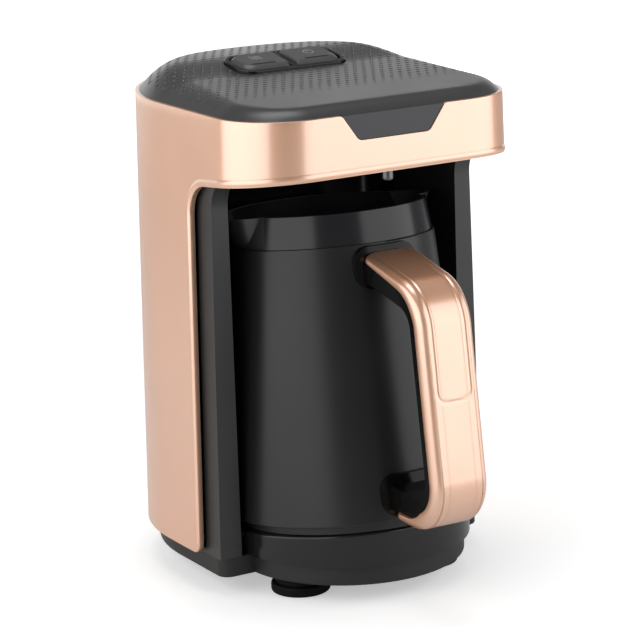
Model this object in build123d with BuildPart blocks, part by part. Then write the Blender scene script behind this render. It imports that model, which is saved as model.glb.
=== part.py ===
"""Electric coffee pot machine: a tall body with an open-fronted bay, a lift-out
electric pot that leans back on a sloping deck, and two keys on the top cover.

Millimetres, +Z up, +X to the right, the front faces -Y.  The origin is on the
surface that the feet stand on, on the middle plane.  The deck, the pot and the
underside of the head all lean by the same angle, front high.
"""
import os
from math import atan2, cos, radians, sin, sqrt, tan

from build123d import *

os.makedirs("parts", exist_ok=True)

# ---------------------------------------------------------------- body shape
FRONT_Y = -76.3             # front of the head
HALF_WIDTH_TOP = 68.2       # half width of the body at its top edge
HALF_WIDTH_LOW = 71.5       # half width of the body at its lower edge
CORNER_RADIUS = 29.8        # front corners of the head, seen from above
SIDE_END_Y = 8.0            # where the straight sides turn into the round back
BACK_REACH = 74.0           # half-ellipse of the back, front to back, at the top
WRAP_TOP_Z = 213.1          # top edge of the coloured wrap
WRAP_LOW_Z = 17.5           # lower edge of the coloured wrap
WRAP_WALL = 2.4             # thickness of the wrap
WRAP_EDGE_DEPTH = 3.7       # depth of the rolled edge round the front opening
WRAP_EDGE_WIDTH = 2.5       # width of that rolled edge
PANEL_FRONT_Y = -21.1       # front edge of the side panels
PANEL_CURVE_RADIUS = 14.0   # curve from the side panel into the front band
LEAN = 6.4                  # degrees: deck, pot and head underside, front high
UNDERSIDE_Z = 187.3         # lower edge of the front band, at the front

# ---------------------------------------------------------------- base
FOOT_HEIGHT = 8.5
FOOT_RADIUS = 13.0
FOOT_NECK_RADIUS = 11.2
FOOT_RIM_HEIGHT = 4.6
FOOT_EDGE_RADIUS = 1.3
FOOT_X = 33.1
FOOT_FRONT_Y = -41.8
FOOT_BACK_INSET = 35.5      # middle of the back feet, in front of the body's back
PAN_TOP_Z = 17.3
PAN_INSET = 5.0             # of the pan behind the wrap, seen from above
PAN_NOSE_INSET = 2.6        # of the pan behind the deck's round front
PAN_WALL = 2.5
PAN_EDGE_RADIUS = 0.8
VENT_LENGTH = 34.0
VENT_WIDTH = 2.4
VENT_PITCH = 6.0
VENT_COUNT = 5
VENT_Y = 12.0

# ---------------------------------------------------------------- deck
NOSE_Y = -28.8              # centre of the deck's round front
NOSE_RADIUS = 53.6
DECK_FRONT_Z = 33.3         # top of the deck at its very front
DECK_WALL = 2.4
DECK_FLANGE = 5.0           # width of the foot flange that rests on the pan
DECK_FLANGE_HEIGHT = 2.0
DECK_EDGE_RADIUS = 1.0
DECK_CLEARANCE = 0.3        # between the deck's tongue and the bay's walls

# ---------------------------------------------------------------- bay liner
CHEEK_FRONT_Y = -33.0       # front faces of the two cheeks
CHEEK_INSET = 4.0           # of the cheeks behind the wrap's outside
CHEEK_CORNER_RADIUS = 5.5
CHEEK_BLOCK_DEPTH = 13.0    # solid front part of each cheek
CHEEK_FLARE_RADIUS = 14.0   # curve from the cheek into the head underside
BAY_HALF_WIDTH = 57.0
BAY_BACK_Y = 30.0
BAY_CORNER_RADIUS = 12.0
LINER_WALL = 2.5
LINER_FLOOR = 2.5
UNDERSIDE_RECESS = 2.0      # head floor above the band's lower edge

# ---------------------------------------------------------------- head
HEAD_FLOOR_WALL = 2.0
CABLE_HOLE_WIDTH = 24.0
CABLE_HOLE_DEPTH = 9.0
CABLE_HOLE_Y = 46.0
COVER_LIP = 1.4             # band edge that shows round the cover
COVER_WALL = 2.4
COVER_FRONT_RISE = 3.7      # cover above the band at its front edge
COVER_SIDE_RISE = 5.6       # cover above the band at its side edges
COVER_SIDE_BREAK_X = 58.0   # where the cover's crown turns to its side edge
COVER_SIDE_BREAK_RISE = 9.1
COVER_CROWN_RISE = 13.4     # middle of the cover's crown
COVER_BEND_Y = 0.0          # where the cover's top starts to climb to the back
COVER_BEND_RISE = 6.7
COVER_RIDGE_RISE = 12.2     # top of the cover above the band, towards the back
COVER_RIDGE_Y = 55.0
COVER_BACK_RISE = 5.6       # cover above the band at its back edge
COVER_RIM_DEPTH = 4.0       # locating rim inside the band
COVER_EDGE_RADIUS = 3.4
COVER_BACK_RADIUS = 26.0
BADGE_HALF_WIDTH_TOP = 25.2
BADGE_HALF_WIDTH_LOW = 17.2
BADGE_HEIGHT = 11.1
BADGE_THICKNESS = 2.0
BADGE_RECESS = 0.4

# ---------------------------------------------------------------- keys
KEY_PANEL_LEAN = 10.0       # degrees: keys and bezel, back high
KEY_FRONT_Y = 4.9
KEY_FRONT_Z = 223.1         # top of the keys at their front edge
KEY_DEPTH = 19.0
KEY_OUTER_X = 25.0
KEY_GAP = 3.6               # between the two keys
KEY_CORNER_RADIUS = 6.0
KEY_BEVEL = 1.0
KEY_CAP = 2.0               # thickness of a key's top
KEY_SKIRT = 1.2             # thickness of a key's side
KEY_TRAVEL = 1.2
KEY_CLEARANCE = 0.3
BEZEL_BORDER = 2.2          # bezel round the keys
BEZEL_STEP = 0.9            # keys stand above the bezel
BEZEL_FLOOR_Z = 212.0
BEZEL_FLOOR = 1.5
BEZEL_CLEARANCE = 0.2
INDICATOR_WIDTH = 12.0
INDICATOR_DEPTH = 1.3
INDICATOR_SETBACK = 3.6     # of the indicator behind the key's front edge
INDICATOR_DROP = 0.15       # indicator below the key's top

# ---------------------------------------------------------------- electronics
BOARD_THICKNESS = 1.6
CONTROL_BOARD_WIDTH = 72.0
CONTROL_BOARD_DEPTH = 30.0
CONTROL_BOARD_TOP_Z = 207.5
SWITCH_SIDE = 6.2
SWITCH_HEIGHT = 3.4
PLUNGER_RADIUS = 1.75
PLUNGER_CLEARANCE = 0.08
STEM_RADIUS = 2.2
STEM_HOLE_RADIUS = 2.8
BOSS_RADIUS = 3.2
BUZZER_RADIUS = 5.0
BUZZER_HEIGHT = 5.5
POWER_BOARD_WIDTH = 66.0
POWER_BOARD_HEIGHT = 96.0
POWER_BOARD_LOW_Z = 44.0
POWER_BOARD_STANDOFF = 7.0
BOARD_HOLE_INSET = 5.0
TRANSFORMER_X = -13.0
TRANSFORMER_Z = 112.0
TRANSFORMER_WIDTH = 30.0
TRANSFORMER_HEIGHT = 26.0
TRANSFORMER_DEPTH = 20.0
RELAY_X = 18.0
RELAY_Z = 108.0
RELAY_WIDTH = 20.0
RELAY_HEIGHT = 15.0
RELAY_DEPTH = 15.0
TERMINAL_Z = 76.0
TERMINAL_WIDTH = 26.0
TERMINAL_HEIGHT = 12.0
TERMINAL_DEPTH = 11.0
BLOCK_EDGE_RADIUS = 1.0
SENSOR_RADIUS = 2.4
SENSOR_FLANGE_RADIUS = 4.2
SENSOR_FLANGE_HEIGHT = 1.5
SENSOR_Y = -69.5
SENSOR_LOW_Z = 182.2
SENSOR_BOARD_WIDTH = 18.0
SENSOR_BOARD_DEPTH = 11.0
CABLE_WIDTH = 12.0
CABLE_THICKNESS = 1.2
CABLE_LOW_Z = 134.0         # where the cable leaves the power board
CABLE_BEND = 2.5
WIRE_RADIUS = 1.0
WIRE_CLEARANCE = 0.3
WIRE_RUN_Y = 36.0           # upright run between the bay's wall and the board
WIRE_TOP_Z = 52.0           # where the wires meet the power board
WIRE_BEND = 2.4
GLAND_Z = 32.0
GLAND_BORE_RADIUS = 3.6
GLAND_RADIUS = 6.5
GLAND_FLANGE_RADIUS = 9.0
GLAND_FLANGE = 2.0
GLAND_LENGTH = 12.0         # of the gland's body inside the flange
GLAND_CLEARANCE = 0.1
GLAND_SEAT = 0.2            # flange off the rear wall, which is round
NUT_RADIUS = 9.5            # across the corners
NUT_THICKNESS = 3.5
NUT_SEAT = 0.9              # nut off the rear wall's inside

# ---------------------------------------------------------------- pot
POT_Y = -32.44              # where the pot's axis meets the deck
POT_LIFT = 0.25             # pot foot above the deck
POT_SHELL_LOW = 3.9         # lower edge of the jacket above the deck
POT_LOW_RADIUS = 53.7
POT_SHOULDER_RADIUS = 46.3  # top of the jacket
POT_COLLAR_RADIUS = 45.4    # bottom of the collar
POT_RIM_RADIUS = 43.8
POT_HEIGHT = 136.5          # rim above the deck, along the pot's axis
POT_COLLAR_HEIGHT = 13.5
JACKET_WALL = 1.4
VESSEL_WALL = 1.0
VESSEL_GAP = 1.2            # air gap between jacket and vessel
VESSEL_FLOOR = 22.0         # inside floor above the deck
VESSEL_FLOOR_WALL = 1.6
SPOUT_CENTRE_X = 37.5
SPOUT_TOP_RADIUS = 13.5
SPOUT_LOW_RADIUS = 7.5
SPOUT_HEIGHT = 13.5
SPOUT_WALL = 1.2
COLLAR_HALF_ANGLE = 67.0
COLLAR_WALL = 1.2
COLLAR_CLEARANCE = 0.15
POT_EDGE_RADIUS = 0.6
POT_FOOT_RADIUS = 49.5
POT_FOOT_WIDTH = 4.0
POT_BASE_TOP = 6.5          # top of the base plate, where the plug sits
POT_BASE_CLEARANCE = 0.2
SEAL_DROP = 2.0             # seal between jacket and vessel, below the shoulder
SEAL_HEIGHT = 4.0
SEAL_CLEARANCE = 0.05
HEATER_RADIUS = 32.0
HEATER_TUBE_RADIUS = 3.4
HEATER_CLEARANCE = 0.05
THERMOSTAT_RADIUS = 7.5
THERMOSTAT_HEIGHT = 5.5
PLUG_HALF_WIDTH = 13.0
PLUG_HEIGHT = 8.0
PLUG_REACH = 58.2           # from the pot's axis to the plug's face
PLUG_ROOT = 47.5            # from the pot's axis to the plug's inner end
PLUG_CLEARANCE = 0.2
PLUG_SLOT_DEPTH = 6.0
PLUG_SLOT_HEIGHT = 5.0
PLUG_SLOT_WIDTH = 2.2
CONTACT_PITCH = 8.0
CONTACT_COUNT = 3
CONTACT_THICKNESS = 1.2
CONTACT_HEIGHT = 4.0
CONTACT_CLEARANCE = 0.05
CONTACT_TAIL = 3.5          # of the plug's contacts behind the plug
CONTACT_GAP = 0.15          # between the contacts of plug and socket, end to end
CONTACT_BACK = 61.3         # from the pot's axis to the socket contacts' ends
SOCKET_HALF_WIDTH = 19.0
SOCKET_FRONT_Y = 23.3
SOCKET_LOW_Z = 21.7
SOCKET_TOP_Z = 41.0
SOCKET_CLEARANCE = 0.6

# ---------------------------------------------------------------- handle
HANDLE_HALF_WIDTH = 13.0
HANDLE_EDGE_RADIUS = 2.0
HANDLE_TOP_Y = -66.5        # upper root of the coloured shell
HANDLE_TOP_RISE = 2.4       # above the middle of the jacket's shoulder
HANDLE_KNEE_Y = -111.8      # upper outer corner
HANDLE_KNEE_DROP = 9.5      # below the upper root
HANDLE_HEEL_Y = -126.6      # lower outer corner
HANDLE_HEEL_Z = 37.4
HANDLE_LOW_Y = -90.0        # lower root of the coloured shell
HANDLE_LOW_Z = 40.4
HANDLE_ROOT_Y = -40.0       # both roots run on to here before the pot trims them
HANDLE_KNEE_RADIUS = 22.5
HANDLE_HEEL_RADIUS = 21.0
HANDLE_SHELL_DEPTH = 6.6    # coloured shell, outside to inside
HANDLE_SHELL_WALL = 2.0
HANDLE_LINER_DEPTH = 6.0    # black liner inside the shell's edge
HANDLE_FIT = 0.2            # between shell and liner
HANDLE_PAD_DEPTH = 2.4      # pads between the jacket and the handle
HANDLE_PAD_CLEARANCE = 0.1
INSET_HALF_WIDTH = 9.0
INSET_LOW_Z = 99.0
INSET_THICKNESS = 1.2
INSET_PROUD = 0.3
INSET_CLEARANCE = 0.1
INSET_CORNER_RADIUS = 4.5
PAD_HALF_WIDTH = 15.0
PAD_HEIGHT = 18.0
PAD_CORNER_RADIUS = 7.0
UPPER_SCREW_DROP = 10.0     # upper handle screw below the shoulder
LOWER_SCREW = 15.4          # lower handle screw above the deck, along the pot's axis
HANDLE_SCREW_HEAD_RADIUS = 3.0
HANDLE_SCREW_HEAD = 0.6
HANDLE_SCREW_SEAT = 0.13    # head off the jacket's wall, which is round
HANDLE_SCREW_REACH = 8.5

# ---------------------------------------------------------------- screws
SCREW_RADIUS = 1.5
SCREW_HEAD_RADIUS = 2.8
SCREW_HEAD_HEIGHT = 1.8
SCREW_CLEARANCE = 0.06
DECK_SCREW_X = 24.0
DECK_SCREW_FRONT_Y = -58.0
DECK_SCREW_BACK_Y = 14.0
DECK_SCREW_LENGTH = 9.0
BOARD_SCREW_LENGTH = 6.5
POST_RADIUS = 3.6

FAR = 400.0                 # longer than the whole object, for through cuts

SIN_LEAN = sin(radians(LEAN))
COS_LEAN = cos(radians(LEAN))
LEAN_NORMAL = (0, SIN_LEAN, COS_LEAN)
DECK_FRONT_Y = NOSE_Y - NOSE_RADIUS

# planes that share the lean
DECK = Plane(origin=(0, DECK_FRONT_Y, DECK_FRONT_Z), x_dir=(1, 0, 0), z_dir=LEAN_NORMAL)
BAND_EDGE = Plane(origin=(0, FRONT_Y, UNDERSIDE_Z), x_dir=(1, 0, 0), z_dir=LEAN_NORMAL)
HEAD_FLOOR_LOW = Plane(
    origin=(0, FRONT_Y, UNDERSIDE_Z + UNDERSIDE_RECESS), x_dir=(1, 0, 0), z_dir=LEAN_NORMAL
)
HEAD_FLOOR_HIGH = HEAD_FLOOR_LOW.offset(HEAD_FLOOR_WALL)
POT_DECK_Z = DECK_FRONT_Z - tan(radians(LEAN)) * (POT_Y - DECK_FRONT_Y)
POT = Plane(origin=(0, POT_Y, POT_DECK_Z), x_dir=(1, 0, 0), z_dir=LEAN_NORMAL)
KEY_TOP = Plane(
    origin=(0, KEY_FRONT_Y, KEY_FRONT_Z),
    x_dir=(1, 0, 0),
    z_dir=(0, -sin(radians(KEY_PANEL_LEAN)), cos(radians(KEY_PANEL_LEAN))),
)
BEZEL_TOP = KEY_TOP.offset(-BEZEL_STEP)


def half_width(z):
    """Half width of the body at one height: straight draft from bottom to top."""
    share = (z - WRAP_LOW_Z) / (WRAP_TOP_Z - WRAP_LOW_Z)
    return HALF_WIDTH_LOW + share * (HALF_WIDTH_TOP - HALF_WIDTH_LOW)


def body_outline(z, inset=0.0):
    """Outline that the body has at one height, pulled in by an inset, drawn on XY."""
    half = half_width(z) - inset
    front = FRONT_Y + inset
    corner = CORNER_RADIUS - inset
    reach = BACK_REACH + half_width(z) - HALF_WIDTH_TOP - inset
    nick = corner * (1 - sqrt(0.5))
    with BuildSketch() as outline:
        with BuildLine():
            Line((corner - half, front), (half - corner, front))
            ThreePointArc(
                (half - corner, front), (half - nick, front + nick), (half, front + corner)
            )
            Line((half, front + corner), (half, SIDE_END_Y))
            EllipticalCenterArc((0, SIDE_END_Y), half, reach, start_angle=0, arc_size=180)
            Line((-half, SIDE_END_Y), (-half, front + corner))
            ThreePointArc(
                (-half, front + corner), (nick - half, front + nick), (corner - half, front)
            )
        make_face()
    return outline.sketch


def body_plan(z, inset=0.0):
    """The body's outline, placed at its own height."""
    with BuildSketch(Plane.XY.offset(z)) as plan:
        add(body_outline(z, inset))
    return plan.sketch


def body_form(low_z, high_z, inset=0.0):
    """Solid of the drafted body between two heights, pulled in by an inset."""
    with BuildPart() as form:
        loft([body_plan(low_z, inset), body_plan(high_z, inset)], ruled=True)
    return form.part


def front_opening(back_y, edge, radius, grow=0.0):
    """Prism through the body's front: below a leaning plane and ahead of back_y.

    It has a round upper corner and can be grown all round by an edge width.
    """
    ceiling_z = edge.origin.Z + grow
    ahead = FRONT_Y - CORNER_RADIUS
    back = back_y + grow
    slope = tan(radians(LEAN))
    with BuildPart() as prism:
        with BuildSketch(Plane.YZ):
            with BuildLine():
                Polyline(
                    (ahead, -CORNER_RADIUS),
                    (back, -CORNER_RADIUS),
                    (back, ceiling_z - slope * (back - FRONT_Y)),
                    (ahead, ceiling_z - slope * (ahead - FRONT_Y)),
                    close=True,
                )
            side = make_face()
            fillet(side.vertices().group_by(Axis.X)[-1].sort_by(Axis.Y)[-1], radius - grow)
        extrude(amount=FAR, both=True)
    return prism.part


def badge_outline(grow=0.0):
    """Trapezoid of the badge on the front, wide edge up, grown by a clearance."""
    rise = BADGE_HEIGHT + grow
    with BuildSketch(Plane.XZ) as outline:
        with BuildLine():
            Polyline(
                (-BADGE_HALF_WIDTH_TOP - grow, WRAP_TOP_Z),
                (-BADGE_HALF_WIDTH_LOW - grow, WRAP_TOP_Z - rise),
                (BADGE_HALF_WIDTH_LOW + grow, WRAP_TOP_Z - rise),
                (BADGE_HALF_WIDTH_TOP + grow, WRAP_TOP_Z),
                close=True,
            )
        make_face()
    return outline.sketch


def cover_form(inset, drop):
    """Solid of the domed cover, pulled in by an inset and lowered by a drop.

    It is the body outline cut by a side profile, which climbs to the back and
    rounds over, and by a front profile with a low crown and round edges.
    """
    base = WRAP_TOP_Z - COVER_RIM_DEPTH
    front = FRONT_Y + inset
    back = SIDE_END_Y + BACK_REACH - inset
    half = HALF_WIDTH_TOP - inset
    with BuildPart() as form:
        extrude(body_plan(WRAP_TOP_Z, inset), amount=COVER_CROWN_RISE + COVER_RIM_DEPTH)
        extrude(body_plan(WRAP_TOP_Z, inset), amount=-COVER_RIM_DEPTH)
        with BuildSketch(Plane.YZ):
            with BuildLine():
                Polyline(
                    (front, base),
                    (front, WRAP_TOP_Z + COVER_FRONT_RISE - drop),
                    (COVER_BEND_Y, WRAP_TOP_Z + COVER_BEND_RISE - drop),
                    (COVER_RIDGE_Y, WRAP_TOP_Z + COVER_RIDGE_RISE - drop),
                    (back, WRAP_TOP_Z + COVER_BACK_RISE - drop),
                    (back, base),
                    close=True,
                )
            side = make_face()
            ridge = side.vertices().sort_by(Axis.Y)[-1]
            brow = side.vertices().group_by(Axis.X)[0].sort_by(Axis.Y)[-1]
            fillet(ridge, COVER_BACK_RADIUS)
            fillet(brow, COVER_EDGE_RADIUS)
        extrude(amount=FAR, both=True, mode=Mode.INTERSECT)
        with BuildSketch(Plane.XZ):
            with BuildLine():
                Polyline(
                    (-half, base),
                    (-half, WRAP_TOP_Z + COVER_SIDE_RISE - drop),
                    (-COVER_SIDE_BREAK_X + inset, WRAP_TOP_Z + COVER_SIDE_BREAK_RISE - drop),
                    (0, WRAP_TOP_Z + COVER_CROWN_RISE - drop),
                    (COVER_SIDE_BREAK_X - inset, WRAP_TOP_Z + COVER_SIDE_BREAK_RISE - drop),
                    (half, WRAP_TOP_Z + COVER_SIDE_RISE - drop),
                    (half, base),
                    close=True,
                )
            crown = make_face()
            fillet(crown.vertices().sort_by(Axis.Y)[-1], FAR)
            for end in (0, -1):
                fillet(crown.vertices().group_by(Axis.X)[end].sort_by(Axis.Y)[-1], COVER_EDGE_RADIUS)
        extrude(amount=FAR, both=True, mode=Mode.INTERSECT)
    return form.part


def key_block(side, grow, low_z, high_z):
    """Upright block on one key's outline, grown all round; side is -1 or +1."""
    width = KEY_OUTER_X - KEY_GAP / 2 + 2 * grow
    centre = (side * (KEY_OUTER_X + KEY_GAP / 2) / 2, KEY_FRONT_Y + KEY_DEPTH / 2)
    with BuildPart() as block:
        with BuildSketch(Plane.XY.offset(low_z)):
            with Locations(centre):
                outline = Rectangle(width, KEY_DEPTH + 2 * grow)
            outer = outline.vertices().group_by(Axis.X)[-1 if side > 0 else 0]
            fillet(outer, KEY_CORNER_RADIUS + grow)
        extrude(amount=high_z - low_z)
    return block.part


def pan_plan(z, inset=0.0):
    """Outline of the base pan: the body without its overhang, plus a round nose."""
    with BuildSketch(Plane.XY.offset(z)) as plan:
        add(body_outline(WRAP_LOW_Z, PAN_INSET + inset))
        with Locations((0, CHEEK_FRONT_Y + inset - FAR / 2)):
            Rectangle(FAR, FAR, mode=Mode.SUBTRACT)
        fillet(plan.vertices().group_by(Axis.Y)[0], CHEEK_CORNER_RADIUS)
        with Locations((0, NOSE_Y)):
            Circle(NOSE_RADIUS - PAN_NOSE_INSET - inset)
    return plan.sketch


def deck_plan(z, inset=0.0):
    """Outline of the deck: a round nose and a tongue that fills the bay's floor."""
    half = BAY_HALF_WIDTH - DECK_CLEARANCE - inset
    depth = BAY_BACK_Y - DECK_CLEARANCE - inset - NOSE_Y
    with BuildSketch(Plane.XY.offset(z)) as plan:
        with Locations((0, NOSE_Y + depth / 2)):
            Rectangle(2 * half, depth)
        fillet(plan.vertices().group_by(Axis.Y)[-1], BAY_CORNER_RADIUS - inset)
        with Locations((0, NOSE_Y)):
            Circle(NOSE_RADIUS - inset)
    return plan.sketch


def bay_plan(z, grow=0.0):
    """Outline of the open bay between the cheeks, open to the front, grown by a wall."""
    depth = BAY_BACK_Y + grow - FRONT_Y + CORNER_RADIUS
    with BuildSketch(Plane.XY.offset(z)) as plan:
        with Locations((0, BAY_BACK_Y + grow - depth / 2)):
            Rectangle(2 * (BAY_HALF_WIDTH + grow), depth)
        fillet(plan.vertices().group_by(Axis.Y)[-1], BAY_CORNER_RADIUS + grow)
    return plan.sketch


# ================================================================ base
# The pan is the matt tray under everything; the four feet stand under it.
deck_screw_places = [
    (side * DECK_SCREW_X, y) for side in (-1, 1) for y in (DECK_SCREW_FRONT_Y, DECK_SCREW_BACK_Y)
]
with BuildPart() as base_pan:
    extrude(pan_plan(FOOT_HEIGHT), amount=PAN_TOP_Z - FOOT_HEIGHT)
    fillet(base_pan.faces().sort_by(Axis.Z)[0].edges(), PAN_EDGE_RADIUS)
    extrude(pan_plan(FOOT_HEIGHT + PAN_WALL, PAN_WALL), amount=PAN_TOP_Z, mode=Mode.SUBTRACT)
    with BuildSketch(Plane.XY):
        with Locations((0, VENT_Y)):
            with GridLocations(VENT_PITCH, VENT_PITCH, 1, VENT_COUNT):
                SlotOverall(VENT_LENGTH, VENT_WIDTH)
        with Locations(*deck_screw_places):
            Circle(SCREW_RADIUS + SCREW_CLEARANCE)
    extrude(amount=PAN_TOP_Z, mode=Mode.SUBTRACT)
base_pan.part.label = "base_pan"
export_step(base_pan.part, "parts/base_pan.step")

pan_reach = BACK_REACH + half_width(FOOT_HEIGHT) - HALF_WIDTH_TOP
foot_back_y = SIDE_END_Y + pan_reach - FOOT_BACK_INSET
foot_places = {
    "foot_front_left": (-FOOT_X, FOOT_FRONT_Y),
    "foot_front_right": (FOOT_X, FOOT_FRONT_Y),
    "foot_back_left": (-FOOT_X, foot_back_y),
    "foot_back_right": (FOOT_X, foot_back_y),
}
for foot_name, foot_place in foot_places.items():
    with BuildPart() as foot:
        with BuildSketch(Plane.XY):
            with Locations(foot_place):
                Circle(FOOT_RADIUS)
        extrude(amount=FOOT_RIM_HEIGHT)
        fillet(foot.edges().filter_by(GeomType.CIRCLE), FOOT_EDGE_RADIUS)
        with BuildSketch(Plane.XY.offset(FOOT_RIM_HEIGHT)):
            with Locations(foot_place):
                Circle(FOOT_NECK_RADIUS)
        extrude(amount=FOOT_HEIGHT - FOOT_RIM_HEIGHT)
    foot.part.label = foot_name
    export_step(foot.part, f"parts/{foot_name}.step")

# The deck is the glossy step that the pot stands on.  Its round front shows,
# its tongue fills the floor of the bay, and screw posts hang inside it.
with BuildPart() as deck_hollow:
    extrude(deck_plan(PAN_TOP_Z + DECK_FLANGE_HEIGHT, DECK_WALL), amount=DECK_FRONT_Z)
    split(bisect_by=DECK.offset(-DECK_WALL), keep=Keep.BOTTOM)
    extrude(deck_plan(PAN_TOP_Z, DECK_FLANGE), amount=DECK_FLANGE_HEIGHT)
    with BuildSketch(Plane.XY.offset(FOOT_HEIGHT + PAN_WALL)):
        with Locations(*deck_screw_places):
            Circle(POST_RADIUS)
    extrude(amount=DECK_FRONT_Z, mode=Mode.SUBTRACT)
with BuildPart() as deck:
    extrude(deck_plan(PAN_TOP_Z), amount=DECK_FRONT_Z)
    split(bisect_by=DECK, keep=Keep.BOTTOM)
    fillet(deck.faces().sort_by(Axis.Z)[-1].edges(), DECK_EDGE_RADIUS)
    add(deck_hollow.part, mode=Mode.SUBTRACT)
    with BuildSketch(Plane.XY.offset(FOOT_HEIGHT + PAN_WALL)):
        with Locations(*deck_screw_places):
            Circle(POST_RADIUS)
    extrude(amount=PAN_TOP_Z - FOOT_HEIGHT - PAN_WALL)
    with BuildSketch(Plane.XY):
        with Locations(*deck_screw_places):
            Circle(SCREW_RADIUS + SCREW_CLEARANCE)
    extrude(amount=FOOT_HEIGHT + PAN_WALL + DECK_SCREW_LENGTH, mode=Mode.SUBTRACT)
deck.part.label = "deck"
export_step(deck.part, "parts/deck.step")

# Four screws hold the deck down on the pan, their heads under the pan.
with BuildPart() as base_screws:
    with BuildSketch(Plane.XY.offset(FOOT_HEIGHT - SCREW_HEAD_HEIGHT)):
        with Locations(*deck_screw_places):
            Circle(SCREW_HEAD_RADIUS)
    extrude(amount=SCREW_HEAD_HEIGHT)
    with BuildSketch(Plane.XY.offset(FOOT_HEIGHT)):
        with Locations(*deck_screw_places):
            Circle(SCREW_RADIUS)
    extrude(amount=PAN_WALL + DECK_SCREW_LENGTH - SCREW_CLEARANCE)
base_screws.part.label = "base_screws"
export_step(base_screws.part, "parts/base_screws.step")

# ================================================================ body
# The liner is the glossy black inside of the body: the bay's walls, the two
# cheeks beside it, and the floor of the column that holds the electronics.
with BuildPart() as side_pockets:
    add(body_form(PAN_TOP_Z + LINER_FLOOR, WRAP_TOP_Z, CHEEK_INSET / 2))
    with Locations((0, CHEEK_FRONT_Y + CHEEK_BLOCK_DEPTH - FAR / 2, 0)):
        Box(FAR, FAR, FAR * 2, mode=Mode.SUBTRACT)
    extrude(bay_plan(0, LINER_WALL), amount=FAR, mode=Mode.SUBTRACT)
standoff_places = [
    (x * (POWER_BOARD_WIDTH / 2 - BOARD_HOLE_INSET), POWER_BOARD_LOW_Z + z)
    for x in (-1, 1)
    for z in (BOARD_HOLE_INSET, POWER_BOARD_HEIGHT - BOARD_HOLE_INSET)
]
board_front_y = BAY_BACK_Y + LINER_WALL + POWER_BOARD_STANDOFF
wire_z = POT.from_local_coords((0, CONTACT_BACK, POT_BASE_TOP + PLUG_HEIGHT / 2)).Z
with BuildPart() as whole_liner:
    add(body_form(PAN_TOP_Z, WRAP_TOP_Z, CHEEK_INSET))
    add(front_opening(CHEEK_FRONT_Y, HEAD_FLOOR_LOW, CHEEK_FLARE_RADIUS), mode=Mode.SUBTRACT)
    split(bisect_by=HEAD_FLOOR_LOW, keep=Keep.BOTTOM)
    extrude(bay_plan(0), amount=FAR, mode=Mode.SUBTRACT)
    add(side_pockets.part, mode=Mode.SUBTRACT)
    with BuildSketch(Plane.XZ.offset(-BAY_BACK_Y - LINER_WALL)):
        with Locations(*standoff_places):
            Circle(BOSS_RADIUS)
    extrude(amount=-POWER_BOARD_STANDOFF)
    with BuildSketch(Plane.XZ.offset(-board_front_y)):
        with Locations(*standoff_places):
            Circle(SCREW_RADIUS + SCREW_CLEARANCE)
    extrude(amount=BOARD_SCREW_LENGTH, mode=Mode.SUBTRACT)
    with BuildSketch(Plane.XZ.offset(-BAY_BACK_Y)):
        with Locations((0, wire_z)):
            with GridLocations(CONTACT_PITCH, 1, CONTACT_COUNT, 1):
                Circle(WIRE_RADIUS + WIRE_CLEARANCE)
    extrude(amount=-LINER_WALL, mode=Mode.SUBTRACT)

# It is moulded as three pieces: a cheek on each side and the round back wall,
# which meet where the corners of the bay begin.
cheek_end = Plane.XZ.offset(BAY_CORNER_RADIUS - BAY_BACK_Y)
for cheek_name, cheek_side in (("cheek_left", Keep.BOTTOM), ("cheek_right", Keep.TOP)):
    with BuildPart() as cheek:
        add(whole_liner.part)
        split(bisect_by=cheek_end, keep=Keep.TOP)
        split(bisect_by=Plane.YZ, keep=cheek_side)
    cheek.part.label = cheek_name
    export_step(cheek.part, f"parts/{cheek_name}.step")
with BuildPart() as bay_liner:
    add(whole_liner.part)
    split(bisect_by=cheek_end, keep=Keep.BOTTOM)
bay_liner.part.label = "bay_liner"
export_step(bay_liner.part, "parts/bay_liner.step")

# The wrap is the coloured outside: a band round the head and two side panels
# that run round the back.  Its front edges are rolled inwards, the badge sits
# in a notch at the top and the cord gland in a hole low down at the back.
back_wall_y = SIDE_END_Y + BACK_REACH + half_width(GLAND_Z) - HALF_WIDTH_TOP
with BuildPart() as wrap_relief:
    add(body_form(WRAP_LOW_Z - 1, WRAP_TOP_Z + 1, WRAP_WALL))
    add(
        front_opening(PANEL_FRONT_Y, BAND_EDGE, PANEL_CURVE_RADIUS, WRAP_EDGE_WIDTH),
        mode=Mode.SUBTRACT,
    )
with BuildPart() as whole_wrap:
    add(body_form(WRAP_LOW_Z, WRAP_TOP_Z))
    add(body_form(WRAP_LOW_Z - 1, WRAP_TOP_Z + 1, WRAP_EDGE_DEPTH), mode=Mode.SUBTRACT)
    add(wrap_relief.part, mode=Mode.SUBTRACT)
    add(front_opening(PANEL_FRONT_Y, BAND_EDGE, PANEL_CURVE_RADIUS), mode=Mode.SUBTRACT)
    extrude(badge_outline(), amount=FAR, mode=Mode.SUBTRACT)
    with BuildSketch(Plane.XZ):
        with Locations((0, GLAND_Z)):
            Circle(GLAND_RADIUS + GLAND_CLEARANCE)
    extrude(amount=-FAR, mode=Mode.SUBTRACT)

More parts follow.
